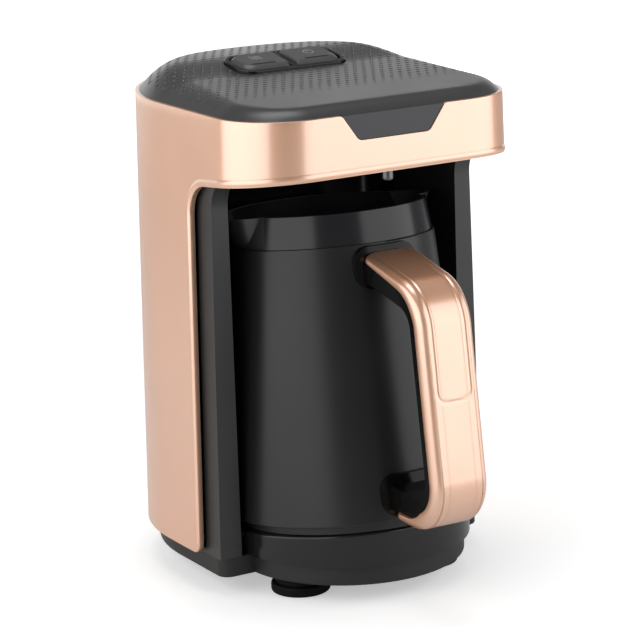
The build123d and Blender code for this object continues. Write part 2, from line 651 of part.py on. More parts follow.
# It is moulded as four shells that meet edge to edge: the band, a flat panel
# on each side and the round back.
panel_front = Plane.XZ.offset(-PANEL_FRONT_Y)
panel_back = Plane.XZ.offset(-SIDE_END_Y)
with BuildPart() as wrap_band:
    add(whole_wrap.part)
    split(bisect_by=panel_front, keep=Keep.TOP)
wrap_band.part.label = "wrap_band"
export_step(wrap_band.part, "parts/wrap_band.step")
for panel_name, panel_side in (("wrap_left", Keep.BOTTOM), ("wrap_right", Keep.TOP)):
    with BuildPart() as wrap_panel:
        add(whole_wrap.part)
        split(bisect_by=panel_front, keep=Keep.BOTTOM)
        split(bisect_by=panel_back, keep=Keep.TOP)
        split(bisect_by=Plane.YZ, keep=panel_side)
    wrap_panel.part.label = panel_name
    export_step(wrap_panel.part, f"parts/{panel_name}.step")
with BuildPart() as wrap_back:
    add(whole_wrap.part)
    split(bisect_by=panel_back, keep=Keep.BOTTOM)
wrap_back.part.label = "wrap_back"
export_step(wrap_back.part, "parts/wrap_back.step")

# The head floor is the sheet above the bay.  It leans like the deck, carries
# the sensor at the front and lets the cable through at the back.
with BuildPart() as head_floor:
    add(body_form(WRAP_LOW_Z, WRAP_TOP_Z, WRAP_EDGE_DEPTH + KEY_CLEARANCE))
    split(bisect_by=HEAD_FLOOR_LOW, keep=Keep.TOP)
    split(bisect_by=HEAD_FLOOR_HIGH, keep=Keep.BOTTOM)
    with BuildSketch(Plane.XY):
        with Locations((0, CABLE_HOLE_Y)):
            Rectangle(CABLE_HOLE_WIDTH, CABLE_HOLE_DEPTH)
        with Locations((0, SENSOR_Y)):
            Circle(SENSOR_RADIUS + KEY_CLEARANCE / 2)
    extrude(amount=FAR, mode=Mode.SUBTRACT)
head_floor.part.label = "head_floor"
export_step(head_floor.part, "parts/head_floor.step")

# The badge is a plain grey plate in the notch of the band.
with BuildPart() as badge_plate:
    with BuildSketch(Plane.XZ.offset(-FRONT_Y - BADGE_RECESS)):
        offset(badge_outline(), -KEY_CLEARANCE / 2)
    extrude(amount=-BADGE_THICKNESS)
badge_plate.part.label = "badge_plate"
export_step(badge_plate.part, "parts/badge_plate.step")

# ================================================================ cover and keys
# The cover is the satin lid of the head.  Four bosses under it carry the
# control board, and the key bezel sits in its opening.
keys_centre_y = KEY_FRONT_Y + KEY_DEPTH / 2
key_centre_x = (KEY_OUTER_X + KEY_GAP / 2) / 2
boss_x = CONTROL_BOARD_WIDTH / 2 - BOARD_HOLE_INSET
boss_y = CONTROL_BOARD_DEPTH / 2 - BOARD_HOLE_INSET
control_bosses = [(x * boss_x, keys_centre_y + y * boss_y) for x in (-1, 1) for y in (-1, 1)]
stem_places = [(side * key_centre_x, keys_centre_y) for side in (-1, 1)]


def bezel_block(grow, low_z, high_z):
    """Upright block on the outline of both keys together, grown all round."""
    with BuildPart() as block:
        with BuildSketch(Plane.XY.offset(low_z)):
            with Locations((0, keys_centre_y)):
                RectangleRounded(
                    2 * (KEY_OUTER_X + grow), KEY_DEPTH + 2 * grow, KEY_CORNER_RADIUS + grow
                )
        extrude(amount=high_z - low_z)
    return block.part


with BuildPart() as cover_bosses:
    with BuildSketch(Plane.XY.offset(CONTROL_BOARD_TOP_Z)) as boss_plan:
        with Locations(*control_bosses):
            Circle(BOSS_RADIUS)
            Circle(SCREW_RADIUS + SCREW_CLEARANCE, mode=Mode.SUBTRACT)
    extrude(amount=WRAP_TOP_Z - CONTROL_BOARD_TOP_Z + COVER_CROWN_RISE)
    split(bisect_by=Plane.XY.offset(WRAP_TOP_Z), keep=Keep.TOP)
    add(cover_form(COVER_LIP, COVER_WALL / 2), mode=Mode.INTERSECT)
    extrude(boss_plan.sketch, amount=WRAP_TOP_Z - CONTROL_BOARD_TOP_Z)
with BuildPart() as cover_top:
    add(cover_form(COVER_LIP, 0))
    split(bisect_by=Plane.XY.offset(WRAP_TOP_Z), keep=Keep.TOP)
with BuildPart() as top_cover:
    add(cover_form(WRAP_WALL + BEZEL_CLEARANCE, 0))
    split(bisect_by=Plane.XY.offset(WRAP_TOP_Z), keep=Keep.BOTTOM)
    add(cover_top.part)
    add(cover_form(WRAP_WALL + COVER_WALL, COVER_WALL), mode=Mode.SUBTRACT)
    add(cover_bosses.part)
    add(
        bezel_block(BEZEL_BORDER + BEZEL_CLEARANCE, BEZEL_FLOOR_Z, WRAP_TOP_Z + FAR),
        mode=Mode.SUBTRACT,
    )
top_cover.part.label = "top_cover"
export_step(top_cover.part, "parts/top_cover.step")

# The bezel is a tray with one well for each key and a rib between them.
with BuildPart() as key_bezel:
    add(bezel_block(BEZEL_BORDER, BEZEL_FLOOR_Z, WRAP_TOP_Z + FAR))
    split(bisect_by=BEZEL_TOP, keep=Keep.BOTTOM)
    fillet(key_bezel.faces().sort_by(Axis.Z)[-1].edges(), BEZEL_STEP / 2)
    for side in (-1, 1):
        well = key_block(side, KEY_CLEARANCE, BEZEL_FLOOR_Z + BEZEL_FLOOR, WRAP_TOP_Z + FAR)
        add(well, mode=Mode.SUBTRACT)
    with BuildSketch(Plane.XY.offset(BEZEL_FLOOR_Z)):
        with Locations(*stem_places):
            Circle(STEM_HOLE_RADIUS)
    extrude(amount=BEZEL_FLOOR, mode=Mode.SUBTRACT)
key_bezel.part.label = "key_bezel"
export_step(key_bezel.part, "parts/key_bezel.step")

# Each key is a hollow cap with a stem that pushes its switch, and carries a
# narrow indicator window near its front edge.
key_skirt_z = BEZEL_FLOOR_Z + BEZEL_FLOOR + KEY_TRAVEL + KEY_CLEARANCE
plunger_top_z = CONTROL_BOARD_TOP_Z + SWITCH_HEIGHT + KEY_TRAVEL + KEY_CLEARANCE
plunger_low_z = CONTROL_BOARD_TOP_Z + 2 * KEY_CLEARANCE + KEY_TRAVEL
stem_top_z = KEY_FRONT_Z + KEY_DEPTH / 2 * tan(radians(KEY_PANEL_LEAN)) - KEY_CAP / 2
for key_side, key_end in ((-1, "left"), (1, "right")):
    window_place = (key_side * key_centre_x, INDICATOR_SETBACK)
    stem_place = (key_side * key_centre_x, keys_centre_y)
    with BuildPart() as key_hollow:
        add(key_block(key_side, -KEY_SKIRT, key_skirt_z, WRAP_TOP_Z + FAR))
        split(bisect_by=KEY_TOP.offset(-KEY_CAP), keep=Keep.BOTTOM)
    with BuildPart() as key:
        add(key_block(key_side, 0, key_skirt_z, WRAP_TOP_Z + FAR))
        split(bisect_by=KEY_TOP, keep=Keep.BOTTOM)
        chamfer(key.faces().sort_by(Axis.Z)[-1].edges(), KEY_BEVEL)
        add(key_hollow.part, mode=Mode.SUBTRACT)
        with BuildSketch(Plane.XY.offset(plunger_top_z)):
            with Locations(stem_place):
                Circle(STEM_RADIUS)
        extrude(amount=stem_top_z - plunger_top_z)
        with BuildSketch(KEY_TOP.offset(-KEY_CAP)):
            with Locations(window_place):
                Rectangle(INDICATOR_WIDTH, INDICATOR_DEPTH)
        extrude(amount=2 * KEY_CAP, mode=Mode.SUBTRACT)
    key.part.label = f"key_{key_end}"
    export_step(key.part, f"parts/key_{key_end}.step")

    with BuildPart() as indicator:
        with BuildSketch(KEY_TOP.offset(-KEY_CAP)):
            with Locations(window_place):
                Rectangle(INDICATOR_WIDTH, INDICATOR_DEPTH)
        extrude(amount=KEY_CAP - INDICATOR_DROP)
    indicator.part.label = f"indicator_{key_end}"
    export_step(indicator.part, f"parts/indicator_{key_end}.step")

    with BuildPart() as switch_body:
        with BuildSketch(Plane.XY.offset(CONTROL_BOARD_TOP_Z)):
            with Locations(stem_place):
                Rectangle(SWITCH_SIDE, SWITCH_SIDE)
        extrude(amount=SWITCH_HEIGHT)
        with BuildSketch(Plane.XY.offset(CONTROL_BOARD_TOP_Z + KEY_CLEARANCE)):
            with Locations(stem_place):
                Circle(PLUNGER_RADIUS + PLUNGER_CLEARANCE)
        extrude(amount=SWITCH_HEIGHT, mode=Mode.SUBTRACT)
    switch_body.part.label = f"switch_{key_end}"
    export_step(switch_body.part, f"parts/switch_{key_end}.step")

    with BuildPart() as plunger:
        with BuildSketch(Plane.XY.offset(plunger_low_z)):
            with Locations(stem_place):
                Circle(PLUNGER_RADIUS)
        extrude(amount=plunger_top_z - plunger_low_z)
    plunger.part.label = f"plunger_{key_end}"
    export_step(plunger.part, f"parts/plunger_{key_end}.step")

# The control board hangs under the cover and carries the switches and buzzer.
with BuildPart() as control_board:
    with BuildSketch(Plane.XY.offset(CONTROL_BOARD_TOP_Z)):
        with Locations((0, keys_centre_y)):
            Rectangle(CONTROL_BOARD_WIDTH, CONTROL_BOARD_DEPTH)
        with Locations(*control_bosses):
            Circle(SCREW_RADIUS + SCREW_CLEARANCE, mode=Mode.SUBTRACT)
    extrude(amount=-BOARD_THICKNESS)
control_board.part.label = "control_board"
export_step(control_board.part, "parts/control_board.step")

with BuildPart() as buzzer:
    with BuildSketch(Plane.XY.offset(CONTROL_BOARD_TOP_Z - BOARD_THICKNESS)):
        with Locations((0, keys_centre_y)):
            Circle(BUZZER_RADIUS)
    extrude(amount=-BUZZER_HEIGHT)
buzzer.part.label = "buzzer"
export_step(buzzer.part, "parts/buzzer.step")

board_under_z = CONTROL_BOARD_TOP_Z - BOARD_THICKNESS
with BuildPart() as control_screws:
    with BuildSketch(Plane.XY.offset(board_under_z)):
        with Locations(*control_bosses):
            Circle(SCREW_HEAD_RADIUS)
    extrude(amount=-SCREW_HEAD_HEIGHT)
    with BuildSketch(Plane.XY.offset(board_under_z)):
        with Locations(*control_bosses):
            Circle(SCREW_RADIUS)
    extrude(amount=BOARD_SCREW_LENGTH)
control_screws.part.label = "control_screws"
export_step(control_screws.part, "parts/control_screws.step")

# ================================================================ sensor
# The sensor looks down at the pot through the head floor, near the front.
sensor_floor_z = HEAD_FLOOR_HIGH.origin.Z - tan(radians(LEAN)) * (SENSOR_Y - FRONT_Y)
sensor_seat_z = sensor_floor_z + SENSOR_FLANGE_RADIUS * tan(radians(LEAN)) + KEY_CLEARANCE / 2
with BuildPart() as sensor_window:
    with BuildSketch(Plane.XY.offset(SENSOR_LOW_Z)):
        with Locations((0, SENSOR_Y)):
            Circle(SENSOR_RADIUS)
    extrude(amount=sensor_seat_z - SENSOR_LOW_Z)
    fillet(sensor_window.edges().sort_by(Axis.Z)[0], SENSOR_RADIUS / 2)
    with BuildSketch(Plane.XY.offset(sensor_seat_z)):
        with Locations((0, SENSOR_Y)):
            Circle(SENSOR_FLANGE_RADIUS)
    extrude(amount=SENSOR_FLANGE_HEIGHT)
sensor_window.part.label = "sensor_window"
export_step(sensor_window.part, "parts/sensor_window.step")

with BuildPart() as sensor_board:
    with BuildSketch(Plane.XY.offset(sensor_seat_z + SENSOR_FLANGE_HEIGHT)):
        with Locations((0, SENSOR_Y + SENSOR_BOARD_DEPTH / 2 - SENSOR_FLANGE_RADIUS)):
            Rectangle(SENSOR_BOARD_WIDTH, SENSOR_BOARD_DEPTH)
    extrude(amount=BOARD_THICKNESS)
sensor_board.part.label = "sensor_board"
export_step(sensor_board.part, "parts/sensor_board.step")

# ================================================================ column
# The power board stands behind the bay on four posts of the liner.  The
# transformer, the relay and the terminals sit on its back.
board_back_y = board_front_y + BOARD_THICKNESS
with BuildPart() as power_board:
    with BuildSketch(Plane.XZ.offset(-board_front_y)):
        with Locations((0, POWER_BOARD_LOW_Z + POWER_BOARD_HEIGHT / 2)):
            Rectangle(POWER_BOARD_WIDTH, POWER_BOARD_HEIGHT)
        with Locations(*standoff_places):
            Circle(SCREW_RADIUS + SCREW_CLEARANCE, mode=Mode.SUBTRACT)
    extrude(amount=-BOARD_THICKNESS)
power_board.part.label = "power_board"
export_step(power_board.part, "parts/power_board.step")

with BuildPart() as transformer:
    with BuildSketch(Plane.XZ.offset(-board_back_y)):
        with Locations((TRANSFORMER_X, TRANSFORMER_Z)):
            RectangleRounded(TRANSFORMER_WIDTH, TRANSFORMER_HEIGHT, BLOCK_EDGE_RADIUS)
    extrude(amount=-TRANSFORMER_DEPTH)
transformer.part.label = "transformer"
export_step(transformer.part, "parts/transformer.step")

with BuildPart() as relay:
    with BuildSketch(Plane.XZ.offset(-board_back_y)):
        with Locations((RELAY_X, RELAY_Z)):
            RectangleRounded(RELAY_WIDTH, RELAY_HEIGHT, BLOCK_EDGE_RADIUS)
    extrude(amount=-RELAY_DEPTH)
relay.part.label = "relay"
export_step(relay.part, "parts/relay.step")

with BuildPart() as terminal_block:
    with BuildSketch(Plane.XZ.offset(-board_back_y)):
        with Locations((0, TERMINAL_Z)):
            RectangleRounded(TERMINAL_WIDTH, TERMINAL_HEIGHT, BLOCK_EDGE_RADIUS)
    extrude(amount=-TERMINAL_DEPTH)
terminal_block.part.label = "terminal_block"
export_step(terminal_block.part, "parts/terminal_block.step")

with BuildPart() as power_screws:
    with BuildSketch(Plane.XZ.offset(-board_back_y)):
        with Locations(*standoff_places):
            Circle(SCREW_HEAD_RADIUS)
    extrude(amount=-SCREW_HEAD_HEIGHT)
    with BuildSketch(Plane.XZ.offset(-board_back_y)):
        with Locations(*standoff_places):
            Circle(SCREW_RADIUS)
    extrude(amount=BOARD_SCREW_LENGTH)
power_screws.part.label = "power_screws"
export_step(power_screws.part, "parts/power_screws.step")

# The flat cable runs from the power board up through the head floor to the
# back edge of the control board.
control_back_y = keys_centre_y + CONTROL_BOARD_DEPTH / 2
control_mid_z = CONTROL_BOARD_TOP_Z - BOARD_THICKNESS / 2
with BuildPart() as head_cable:
    with BuildSketch(Plane.YZ):
        with BuildLine():
            FilletPolyline(
                (board_back_y, CABLE_LOW_Z),
                (CABLE_HOLE_Y, CABLE_LOW_Z),
                (CABLE_HOLE_Y, control_mid_z),
                (control_back_y, control_mid_z),
                radius=CABLE_BEND,
            )
        trace(line_width=CABLE_THICKNESS)
    extrude(amount=CABLE_WIDTH / 2, both=True)
head_cable.part.label = "head_cable"
export_step(head_cable.part, "parts/head_cable.step")

# The gland lines the hole that the mains lead comes in by, and a nut holds it.
gland_seat_y = back_wall_y + GLAND_SEAT
with BuildPart() as cord_gland:
    with BuildSketch(Plane.XZ.offset(-gland_seat_y)):
        with Locations((0, GLAND_Z)):
            Circle(GLAND_FLANGE_RADIUS)
    extrude(amount=-GLAND_FLANGE)
    fillet(cord_gland.edges().group_by(Axis.Y)[-1], GLAND_FLANGE / 2)
    with BuildSketch(Plane.XZ.offset(-gland_seat_y)):
        with Locations((0, GLAND_Z)):
            Circle(GLAND_RADIUS)
    extrude(amount=GLAND_LENGTH)
    with BuildSketch(Plane.XZ.offset(-gland_seat_y)):
        with Locations((0, GLAND_Z)):
            Circle(GLAND_BORE_RADIUS)
    extrude(amount=FAR, both=True, mode=Mode.SUBTRACT)
cord_gland.part.label = "cord_gland"
export_step(cord_gland.part, "parts/cord_gland.step")

with BuildPart() as gland_nut:
    with BuildSketch(Plane.XZ.offset(WRAP_WALL + NUT_SEAT - back_wall_y)):
        with Locations((0, GLAND_Z)):
            RegularPolygon(NUT_RADIUS, 6)
            Circle(GLAND_RADIUS + GLAND_CLEARANCE, mode=Mode.SUBTRACT)
    extrude(amount=NUT_THICKNESS)
gland_nut.part.label = "gland_nut"
export_step(gland_nut.part, "parts/gland_nut.step")


# ================================================================ pot
shoulder = POT_HEIGHT - POT_COLLAR_HEIGHT
upper_screw = shoulder - UPPER_SCREW_DROP
wall_lean = atan2(POT_LOW_RADIUS - POT_SHOULDER_RADIUS, shoulder - POT_SHELL_LOW)


def pot_radius(height):
    """Outside radius of the pot's jacket at one height above the deck."""
    return POT_LOW_RADIUS - (height - POT_SHELL_LOW) * tan(wall_lean)


def pot_cone(low, high, grow=0.0):
    """Solid of the jacket's cone between two heights, grown by a distance."""
    with BuildPart() as cone:
        with BuildSketch(POT.offset(low)):
            Circle(pot_radius(low) + grow)
        with BuildSketch(POT.offset(high)):
            Circle(pot_radius(high) + grow)
        loft(ruled=True)
    return cone.part


def pot_ring(profile):
    """Solid turned round the pot's axis from points of (radius, height)."""
    with BuildPart() as ring:
        with BuildSketch(Plane(POT.origin, x_dir=POT.x_dir, z_dir=-POT.y_dir)):
            with BuildLine():
                Polyline(*profile, close=True)
            make_face()
        revolve(axis=Axis(POT.origin, POT.z_dir))
    return ring.part


def spout_cones(wall, rise):
    """Cones of both spouts, pulled in by a wall and carried on above the rim."""
    flare = (SPOUT_TOP_RADIUS - SPOUT_LOW_RADIUS) / SPOUT_HEIGHT
    with BuildPart() as cones:
        for side in (-1, 1):
            with BuildSketch(POT.offset(POT_HEIGHT - SPOUT_HEIGHT + wall)):
                with Locations((side * SPOUT_CENTRE_X, 0)):
                    Circle(SPOUT_LOW_RADIUS + (flare - 1) * wall)
            with BuildSketch(POT.offset(POT_HEIGHT + rise)):
                with Locations((side * SPOUT_CENTRE_X, 0)):
                    Circle(SPOUT_TOP_RADIUS + flare * rise - wall)
            loft(ruled=True)
    return cones.part


def plug_block(grow, back, front):
    """Block on the plug's section, grown by a clearance, between two depths."""
    with BuildPart() as block:
        with BuildSketch(POT.offset(POT_BASE_TOP - grow)):
            with Locations((0, (back + front) / 2)):
                Rectangle(2 * (PLUG_HALF_WIDTH + grow), front - back)
        extrude(amount=PLUG_HEIGHT + 2 * grow)
    return block.part


def contact_row(thickness, height, back, front):
    """The row of upright contact blades, or of their slots, between two depths."""
    middle = POT_BASE_TOP + PLUG_HEIGHT / 2
    with BuildPart() as row:
        with BuildSketch(POT.offset(middle - height / 2)):
            with Locations((0, (back + front) / 2)):
                with GridLocations(CONTACT_PITCH, 1, CONTACT_COUNT, 1):
                    Rectangle(thickness, front - back)
        extrude(amount=height)
    return row.part


def front_wall(height):
    """Plane on the jacket's front wall at one height, facing straight out of it."""
    point = POT.from_local_coords((0, -pot_radius(height), height))
    outward = POT.z_dir * sin(wall_lean) - POT.y_dir * cos(wall_lean)
    return Plane(origin=point, x_dir=(1, 0, 0), z_dir=outward)


def front_bores(low, high, radius):
    """Rods square to the jacket's front wall at both handle screws."""
    with BuildPart() as bores:
        for height in (upper_screw, LOWER_SCREW):
            with BuildSketch(front_wall(height).offset(low)):
                Circle(radius)
            extrude(amount=high - low)
    return bores.part


# The jacket is the tapered black outside of the pot, open below and above.
with BuildPart() as pot_jacket:
    add(pot_cone(POT_SHELL_LOW, shoulder))
    fillet(pot_jacket.edges().filter_by(GeomType.CIRCLE), POT_EDGE_RADIUS)
    add(pot_cone(POT_SHELL_LOW - 1, shoulder + 1, -JACKET_WALL), mode=Mode.SUBTRACT)
    add(plug_block(PLUG_CLEARANCE, PLUG_ROOT, PLUG_REACH), mode=Mode.SUBTRACT)
    add(
        front_bores(-VESSEL_GAP - JACKET_WALL, JACKET_WALL, SCREW_RADIUS + SCREW_CLEARANCE),
        mode=Mode.SUBTRACT,
    )
pot_jacket.part.label = "pot_jacket"
export_step(pot_jacket.part, "parts/pot_jacket.step")

# The base closes the jacket below and stands on a foot ring.
with BuildPart() as pot_base:
    add(pot_cone(POT_SHELL_LOW, POT_BASE_TOP, -JACKET_WALL - POT_BASE_CLEARANCE))
    with BuildSketch(POT.offset(POT_LIFT)):
        Circle(POT_FOOT_RADIUS)
        Circle(POT_FOOT_RADIUS - POT_FOOT_WIDTH, mode=Mode.SUBTRACT)
    extrude(amount=POT_SHELL_LOW - POT_LIFT)
pot_base.part.label = "pot_base"
export_step(pot_base.part, "parts/pot_base.step")

# The vessel is the dark-coated steel pot inside, with a spout to each side.
neck_radius = POT_COLLAR_RADIUS - COLLAR_WALL - COLLAR_CLEARANCE
rim_radius = POT_RIM_RADIUS - COLLAR_WALL - COLLAR_CLEARANCE
vessel_under = VESSEL_FLOOR - VESSEL_FLOOR_WALL
vessel_low_radius = pot_radius(vessel_under) - JACKET_WALL - VESSEL_GAP
vessel_taper = (vessel_low_radius - neck_radius) / (shoulder - vessel_under)
vessel_outside = [
    (0, vessel_under),
    (vessel_low_radius, vessel_under),
    (neck_radius, shoulder),
    (rim_radius, POT_HEIGHT),
    (0, POT_HEIGHT),
]
vessel_inside = [
    (0, VESSEL_FLOOR),
    (vessel_low_radius - VESSEL_WALL, VESSEL_FLOOR),
    (neck_radius - VESSEL_WALL, shoulder),
    (rim_radius - VESSEL_WALL, POT_HEIGHT),
    (rim_radius - VESSEL_WALL, POT_HEIGHT + VESSEL_WALL),
    (0, POT_HEIGHT + VESSEL_WALL),
]
with BuildPart() as pot_vessel:
    add(pot_ring(vessel_outside))
    add(spout_cones(0, 0))
    add(pot_ring(vessel_inside), mode=Mode.SUBTRACT)
    add(spout_cones(SPOUT_WALL, SPOUT_WALL), mode=Mode.SUBTRACT)
pot_vessel.part.label = "pot_vessel"
export_step(pot_vessel.part, "parts/pot_vessel.step")

# The collar covers the neck in two arcs, in front and behind, between the spouts.
collar_section = [
    (POT_COLLAR_RADIUS - COLLAR_WALL, shoulder),
    (POT_COLLAR_RADIUS, shoulder),
    (POT_RIM_RADIUS, POT_HEIGHT),
    (POT_RIM_RADIUS - COLLAR_WALL, POT_HEIGHT),
]
for collar_name, middle_angle in (("collar_front", -90), ("collar_back", 90)):
    with BuildPart() as wedge:
        with BuildSketch(POT.offset(shoulder)):
            with BuildLine():
                for edge_angle in (-COLLAR_HALF_ANGLE, COLLAR_HALF_ANGLE):
                    PolarLine((0, 0), 2 * POT_COLLAR_RADIUS, middle_angle + edge_angle)
                CenterArc(
                    (0, 0), 2 * POT_COLLAR_RADIUS, middle_angle - COLLAR_HALF_ANGLE, 2 * COLLAR_HALF_ANGLE
                )
            make_face()
        extrude(amount=POT_COLLAR_HEIGHT)
    with BuildPart() as collar:
        add(pot_ring(collar_section))
        add(wedge.part, mode=Mode.INTERSECT)
    collar.part.label = collar_name
    export_step(collar.part, f"parts/{collar_name}.step")

# A rubber ring centres the vessel in the jacket's upper end.
seal_top = shoulder - SEAL_DROP
seal_low = seal_top - SEAL_HEIGHT
seal_section = []
for seal_height in (seal_low, seal_top):
    vessel_radius = neck_radius + (shoulder - seal_height) * vessel_taper
    seal_section.append((vessel_radius + SEAL_CLEARANCE, seal_height))
for seal_height in (seal_top, seal_low):
    seal_section.append((pot_radius(seal_height) - JACKET_WALL - SEAL_CLEARANCE, seal_height))
with BuildPart() as vessel_seal:
    add(pot_ring(seal_section))
vessel_seal.part.label = "vessel_seal"
export_step(vessel_seal.part, "parts/vessel_seal.step")

# The heater ring and the thermostat sit under the vessel's floor.
heater_height = vessel_under - HEATER_TUBE_RADIUS - HEATER_CLEARANCE
with BuildPart() as heating_element:
    with BuildSketch(Plane(POT.origin, x_dir=POT.x_dir, z_dir=-POT.y_dir)):
        with Locations((HEATER_RADIUS, heater_height)):
            Circle(HEATER_TUBE_RADIUS)
    revolve(axis=Axis(POT.origin, POT.z_dir))
heating_element.part.label = "heating_element"
export_step(heating_element.part, "parts/heating_element.step")

with BuildPart() as thermostat:
    with BuildSketch(POT.offset(vessel_under - THERMOSTAT_HEIGHT)):
        Circle(THERMOSTAT_RADIUS)
    extrude(amount=THERMOSTAT_HEIGHT)
thermostat.part.label = "thermostat"
export_step(thermostat.part, "parts/thermostat.step")

# ================================================================ pot connector
# The plug at the back of the pot slides into the socket at the back of the bay.
slot_low = PLUG_REACH - PLUG_SLOT_DEPTH
held_thickness = CONTACT_THICKNESS + 2 * CONTACT_CLEARANCE
held_height = CONTACT_HEIGHT + 2 * CONTACT_CLEARANCE
with BuildPart() as pot_plug:
    add(plug_block(0, PLUG_ROOT, PLUG_REACH))
    add(contact_row(PLUG_SLOT_WIDTH, PLUG_SLOT_HEIGHT, slot_low, FAR), mode=Mode.SUBTRACT)
    add(contact_row(held_thickness, held_height, PLUG_ROOT, slot_low), mode=Mode.SUBTRACT)
pot_plug.part.label = "pot_plug"
export_step(pot_plug.part, "parts/pot_plug.step")

with BuildPart() as plug_contacts:
    add(contact_row(CONTACT_THICKNESS, CONTACT_HEIGHT, PLUG_ROOT - CONTACT_TAIL, slot_low))
plug_contacts.part.label = "plug_contacts"
export_step(plug_contacts.part, "parts/plug_contacts.step")

with BuildPart() as connector_socket:
    with BuildSketch(Plane.XZ.offset(-BAY_BACK_Y)):
        with Locations((0, (SOCKET_LOW_Z + SOCKET_TOP_Z) / 2)):
            Rectangle(2 * SOCKET_HALF_WIDTH, SOCKET_TOP_Z - SOCKET_LOW_Z)
    extrude(amount=BAY_BACK_Y - SOCKET_FRONT_Y)
    fillet(connector_socket.faces().sort_by(Axis.Y)[0].edges(), BLOCK_EDGE_RADIUS)
    add(plug_block(SOCKET_CLEARANCE, PLUG_ROOT, PLUG_REACH), mode=Mode.SUBTRACT)
    add(contact_row(held_thickness, held_height, slot_low, FAR), mode=Mode.SUBTRACT)
connector_socket.part.label = "connector_socket"
export_step(connector_socket.part, "parts/connector_socket.step")

with BuildPart() as socket_contacts:
    add(contact_row(CONTACT_THICKNESS, CONTACT_HEIGHT, slot_low + CONTACT_GAP, CONTACT_BACK))
socket_contacts.part.label = "socket_contacts"
export_step(socket_contacts.part, "parts/socket_contacts.step")

with BuildPart() as socket_wires:
    for contact_index in range(CONTACT_COUNT):
        wire_x = (contact_index - (CONTACT_COUNT - 1) / 2) * CONTACT_PITCH
        with BuildLine(Plane.YZ.offset(wire_x)) as wire_line:
            FilletPolyline(
                (BAY_BACK_Y, wire_z),
                (WIRE_RUN_Y, wire_z),
                (WIRE_RUN_Y, WIRE_TOP_Z),
                (board_front_y, WIRE_TOP_Z),
                radius=WIRE_BEND,
            )
        with BuildSketch(Plane(origin=wire_line.line @ 0, z_dir=wire_line.line % 0)):
            Circle(WIRE_RADIUS)
        sweep(path=wire_line.line)
socket_wires.part.label = "socket_wires"
export_step(socket_wires.part, "parts/socket_wires.step")


# ================================================================ handle
handle_top_z = POT.from_local_coords((0, 0, shoulder)).Z + HANDLE_TOP_RISE


def handle_slab(inset, half_width, edge_radius=0.0):
    """The handle's side profile, pulled in by an inset, as an upright slab.

    The profile runs on into the pot, where each piece is trimmed off later.
    """
    top_slope = HANDLE_KNEE_DROP / (HANDLE_TOP_Y - HANDLE_KNEE_Y)
    low_slope = (HANDLE_LOW_Z - HANDLE_HEEL_Z) / (HANDLE_LOW_Y - HANDLE_HEEL_Y)
    with BuildPart() as slab:
        with BuildSketch(Plane.YZ) as side:
            with BuildLine():
                Polyline(
                    (HANDLE_ROOT_Y, handle_top_z + top_slope * (HANDLE_ROOT_Y - HANDLE_TOP_Y)),
                    (HANDLE_KNEE_Y, handle_top_z - HANDLE_KNEE_DROP),
                    (HANDLE_HEEL_Y, HANDLE_HEEL_Z),
                    (HANDLE_ROOT_Y, HANDLE_LOW_Z + low_slope * (HANDLE_ROOT_Y - HANDLE_LOW_Y)),
                    close=True,
                )
            make_face()
            fillet(side.vertices().sort_by(Axis.X)[1], HANDLE_KNEE_RADIUS)
            fillet(side.vertices().sort_by(Axis.X)[0], HANDLE_HEEL_RADIUS)
            if inset:
                offset(amount=-inset, mode=Mode.REPLACE)
        extrude(amount=half_width, both=True)
        if edge_radius:
            fillet(slab.faces().filter_by(Axis.X).edges(), edge_radius)
    return slab.part


def handle_trim(grow):
    """Everything that belongs to the pot's side of the handle's roots."""
    return pot_cone(-VESSEL_FLOOR, POT_HEIGHT + VESSEL_FLOOR, grow)


def handle_window(half_width, low_z, high_z, corner_radius):
    """Prism on a rounded window in the XZ plane, through the whole handle."""
    with BuildPart() as window:
        with BuildSketch(Plane.XZ):
            with Locations((0, (low_z + high_z) / 2)):
                RectangleRounded(2 * half_width, high_z - low_z, corner_radius)
        extrude(amount=FAR)
    return window.part


# The shell is a coloured channel, open towards the pot.
inset_floor = INSET_THICKNESS - INSET_PROUD
inset_top_z = handle_top_z + HANDLE_HALF_WIDTH
inset_pocket = handle_window(
    INSET_HALF_WIDTH + INSET_CLEARANCE,
    INSET_LOW_Z - INSET_CLEARANCE,
    inset_top_z + INSET_CLEARANCE,
    INSET_CORNER_RADIUS + INSET_CLEARANCE,
)
pad_grow = HANDLE_PAD_DEPTH + HANDLE_PAD_CLEARANCE
with BuildPart() as shell_channel:
    inner_half = HANDLE_HALF_WIDTH - HANDLE_SHELL_WALL
    add(handle_slab(HANDLE_SHELL_WALL, inner_half))
    add(handle_slab(HANDLE_SHELL_DEPTH + HANDLE_SHELL_WALL, FAR), mode=Mode.SUBTRACT)
with BuildPart() as inset_recess:
    add(inset_pocket)
    add(handle_slab(inset_floor, FAR), mode=Mode.SUBTRACT)
with BuildPart() as handle_shell:
    add(handle_slab(0, HANDLE_HALF_WIDTH, HANDLE_EDGE_RADIUS))
    add(handle_slab(HANDLE_SHELL_DEPTH, FAR), mode=Mode.SUBTRACT)
    add(shell_channel.part, mode=Mode.SUBTRACT)
    add(handle_trim(pad_grow + HANDLE_PAD_CLEARANCE), mode=Mode.SUBTRACT)
    add(inset_recess.part, mode=Mode.SUBTRACT)
handle_shell.part.label = "handle_shell"
export_step(handle_shell.part, "parts/handle_shell.step")

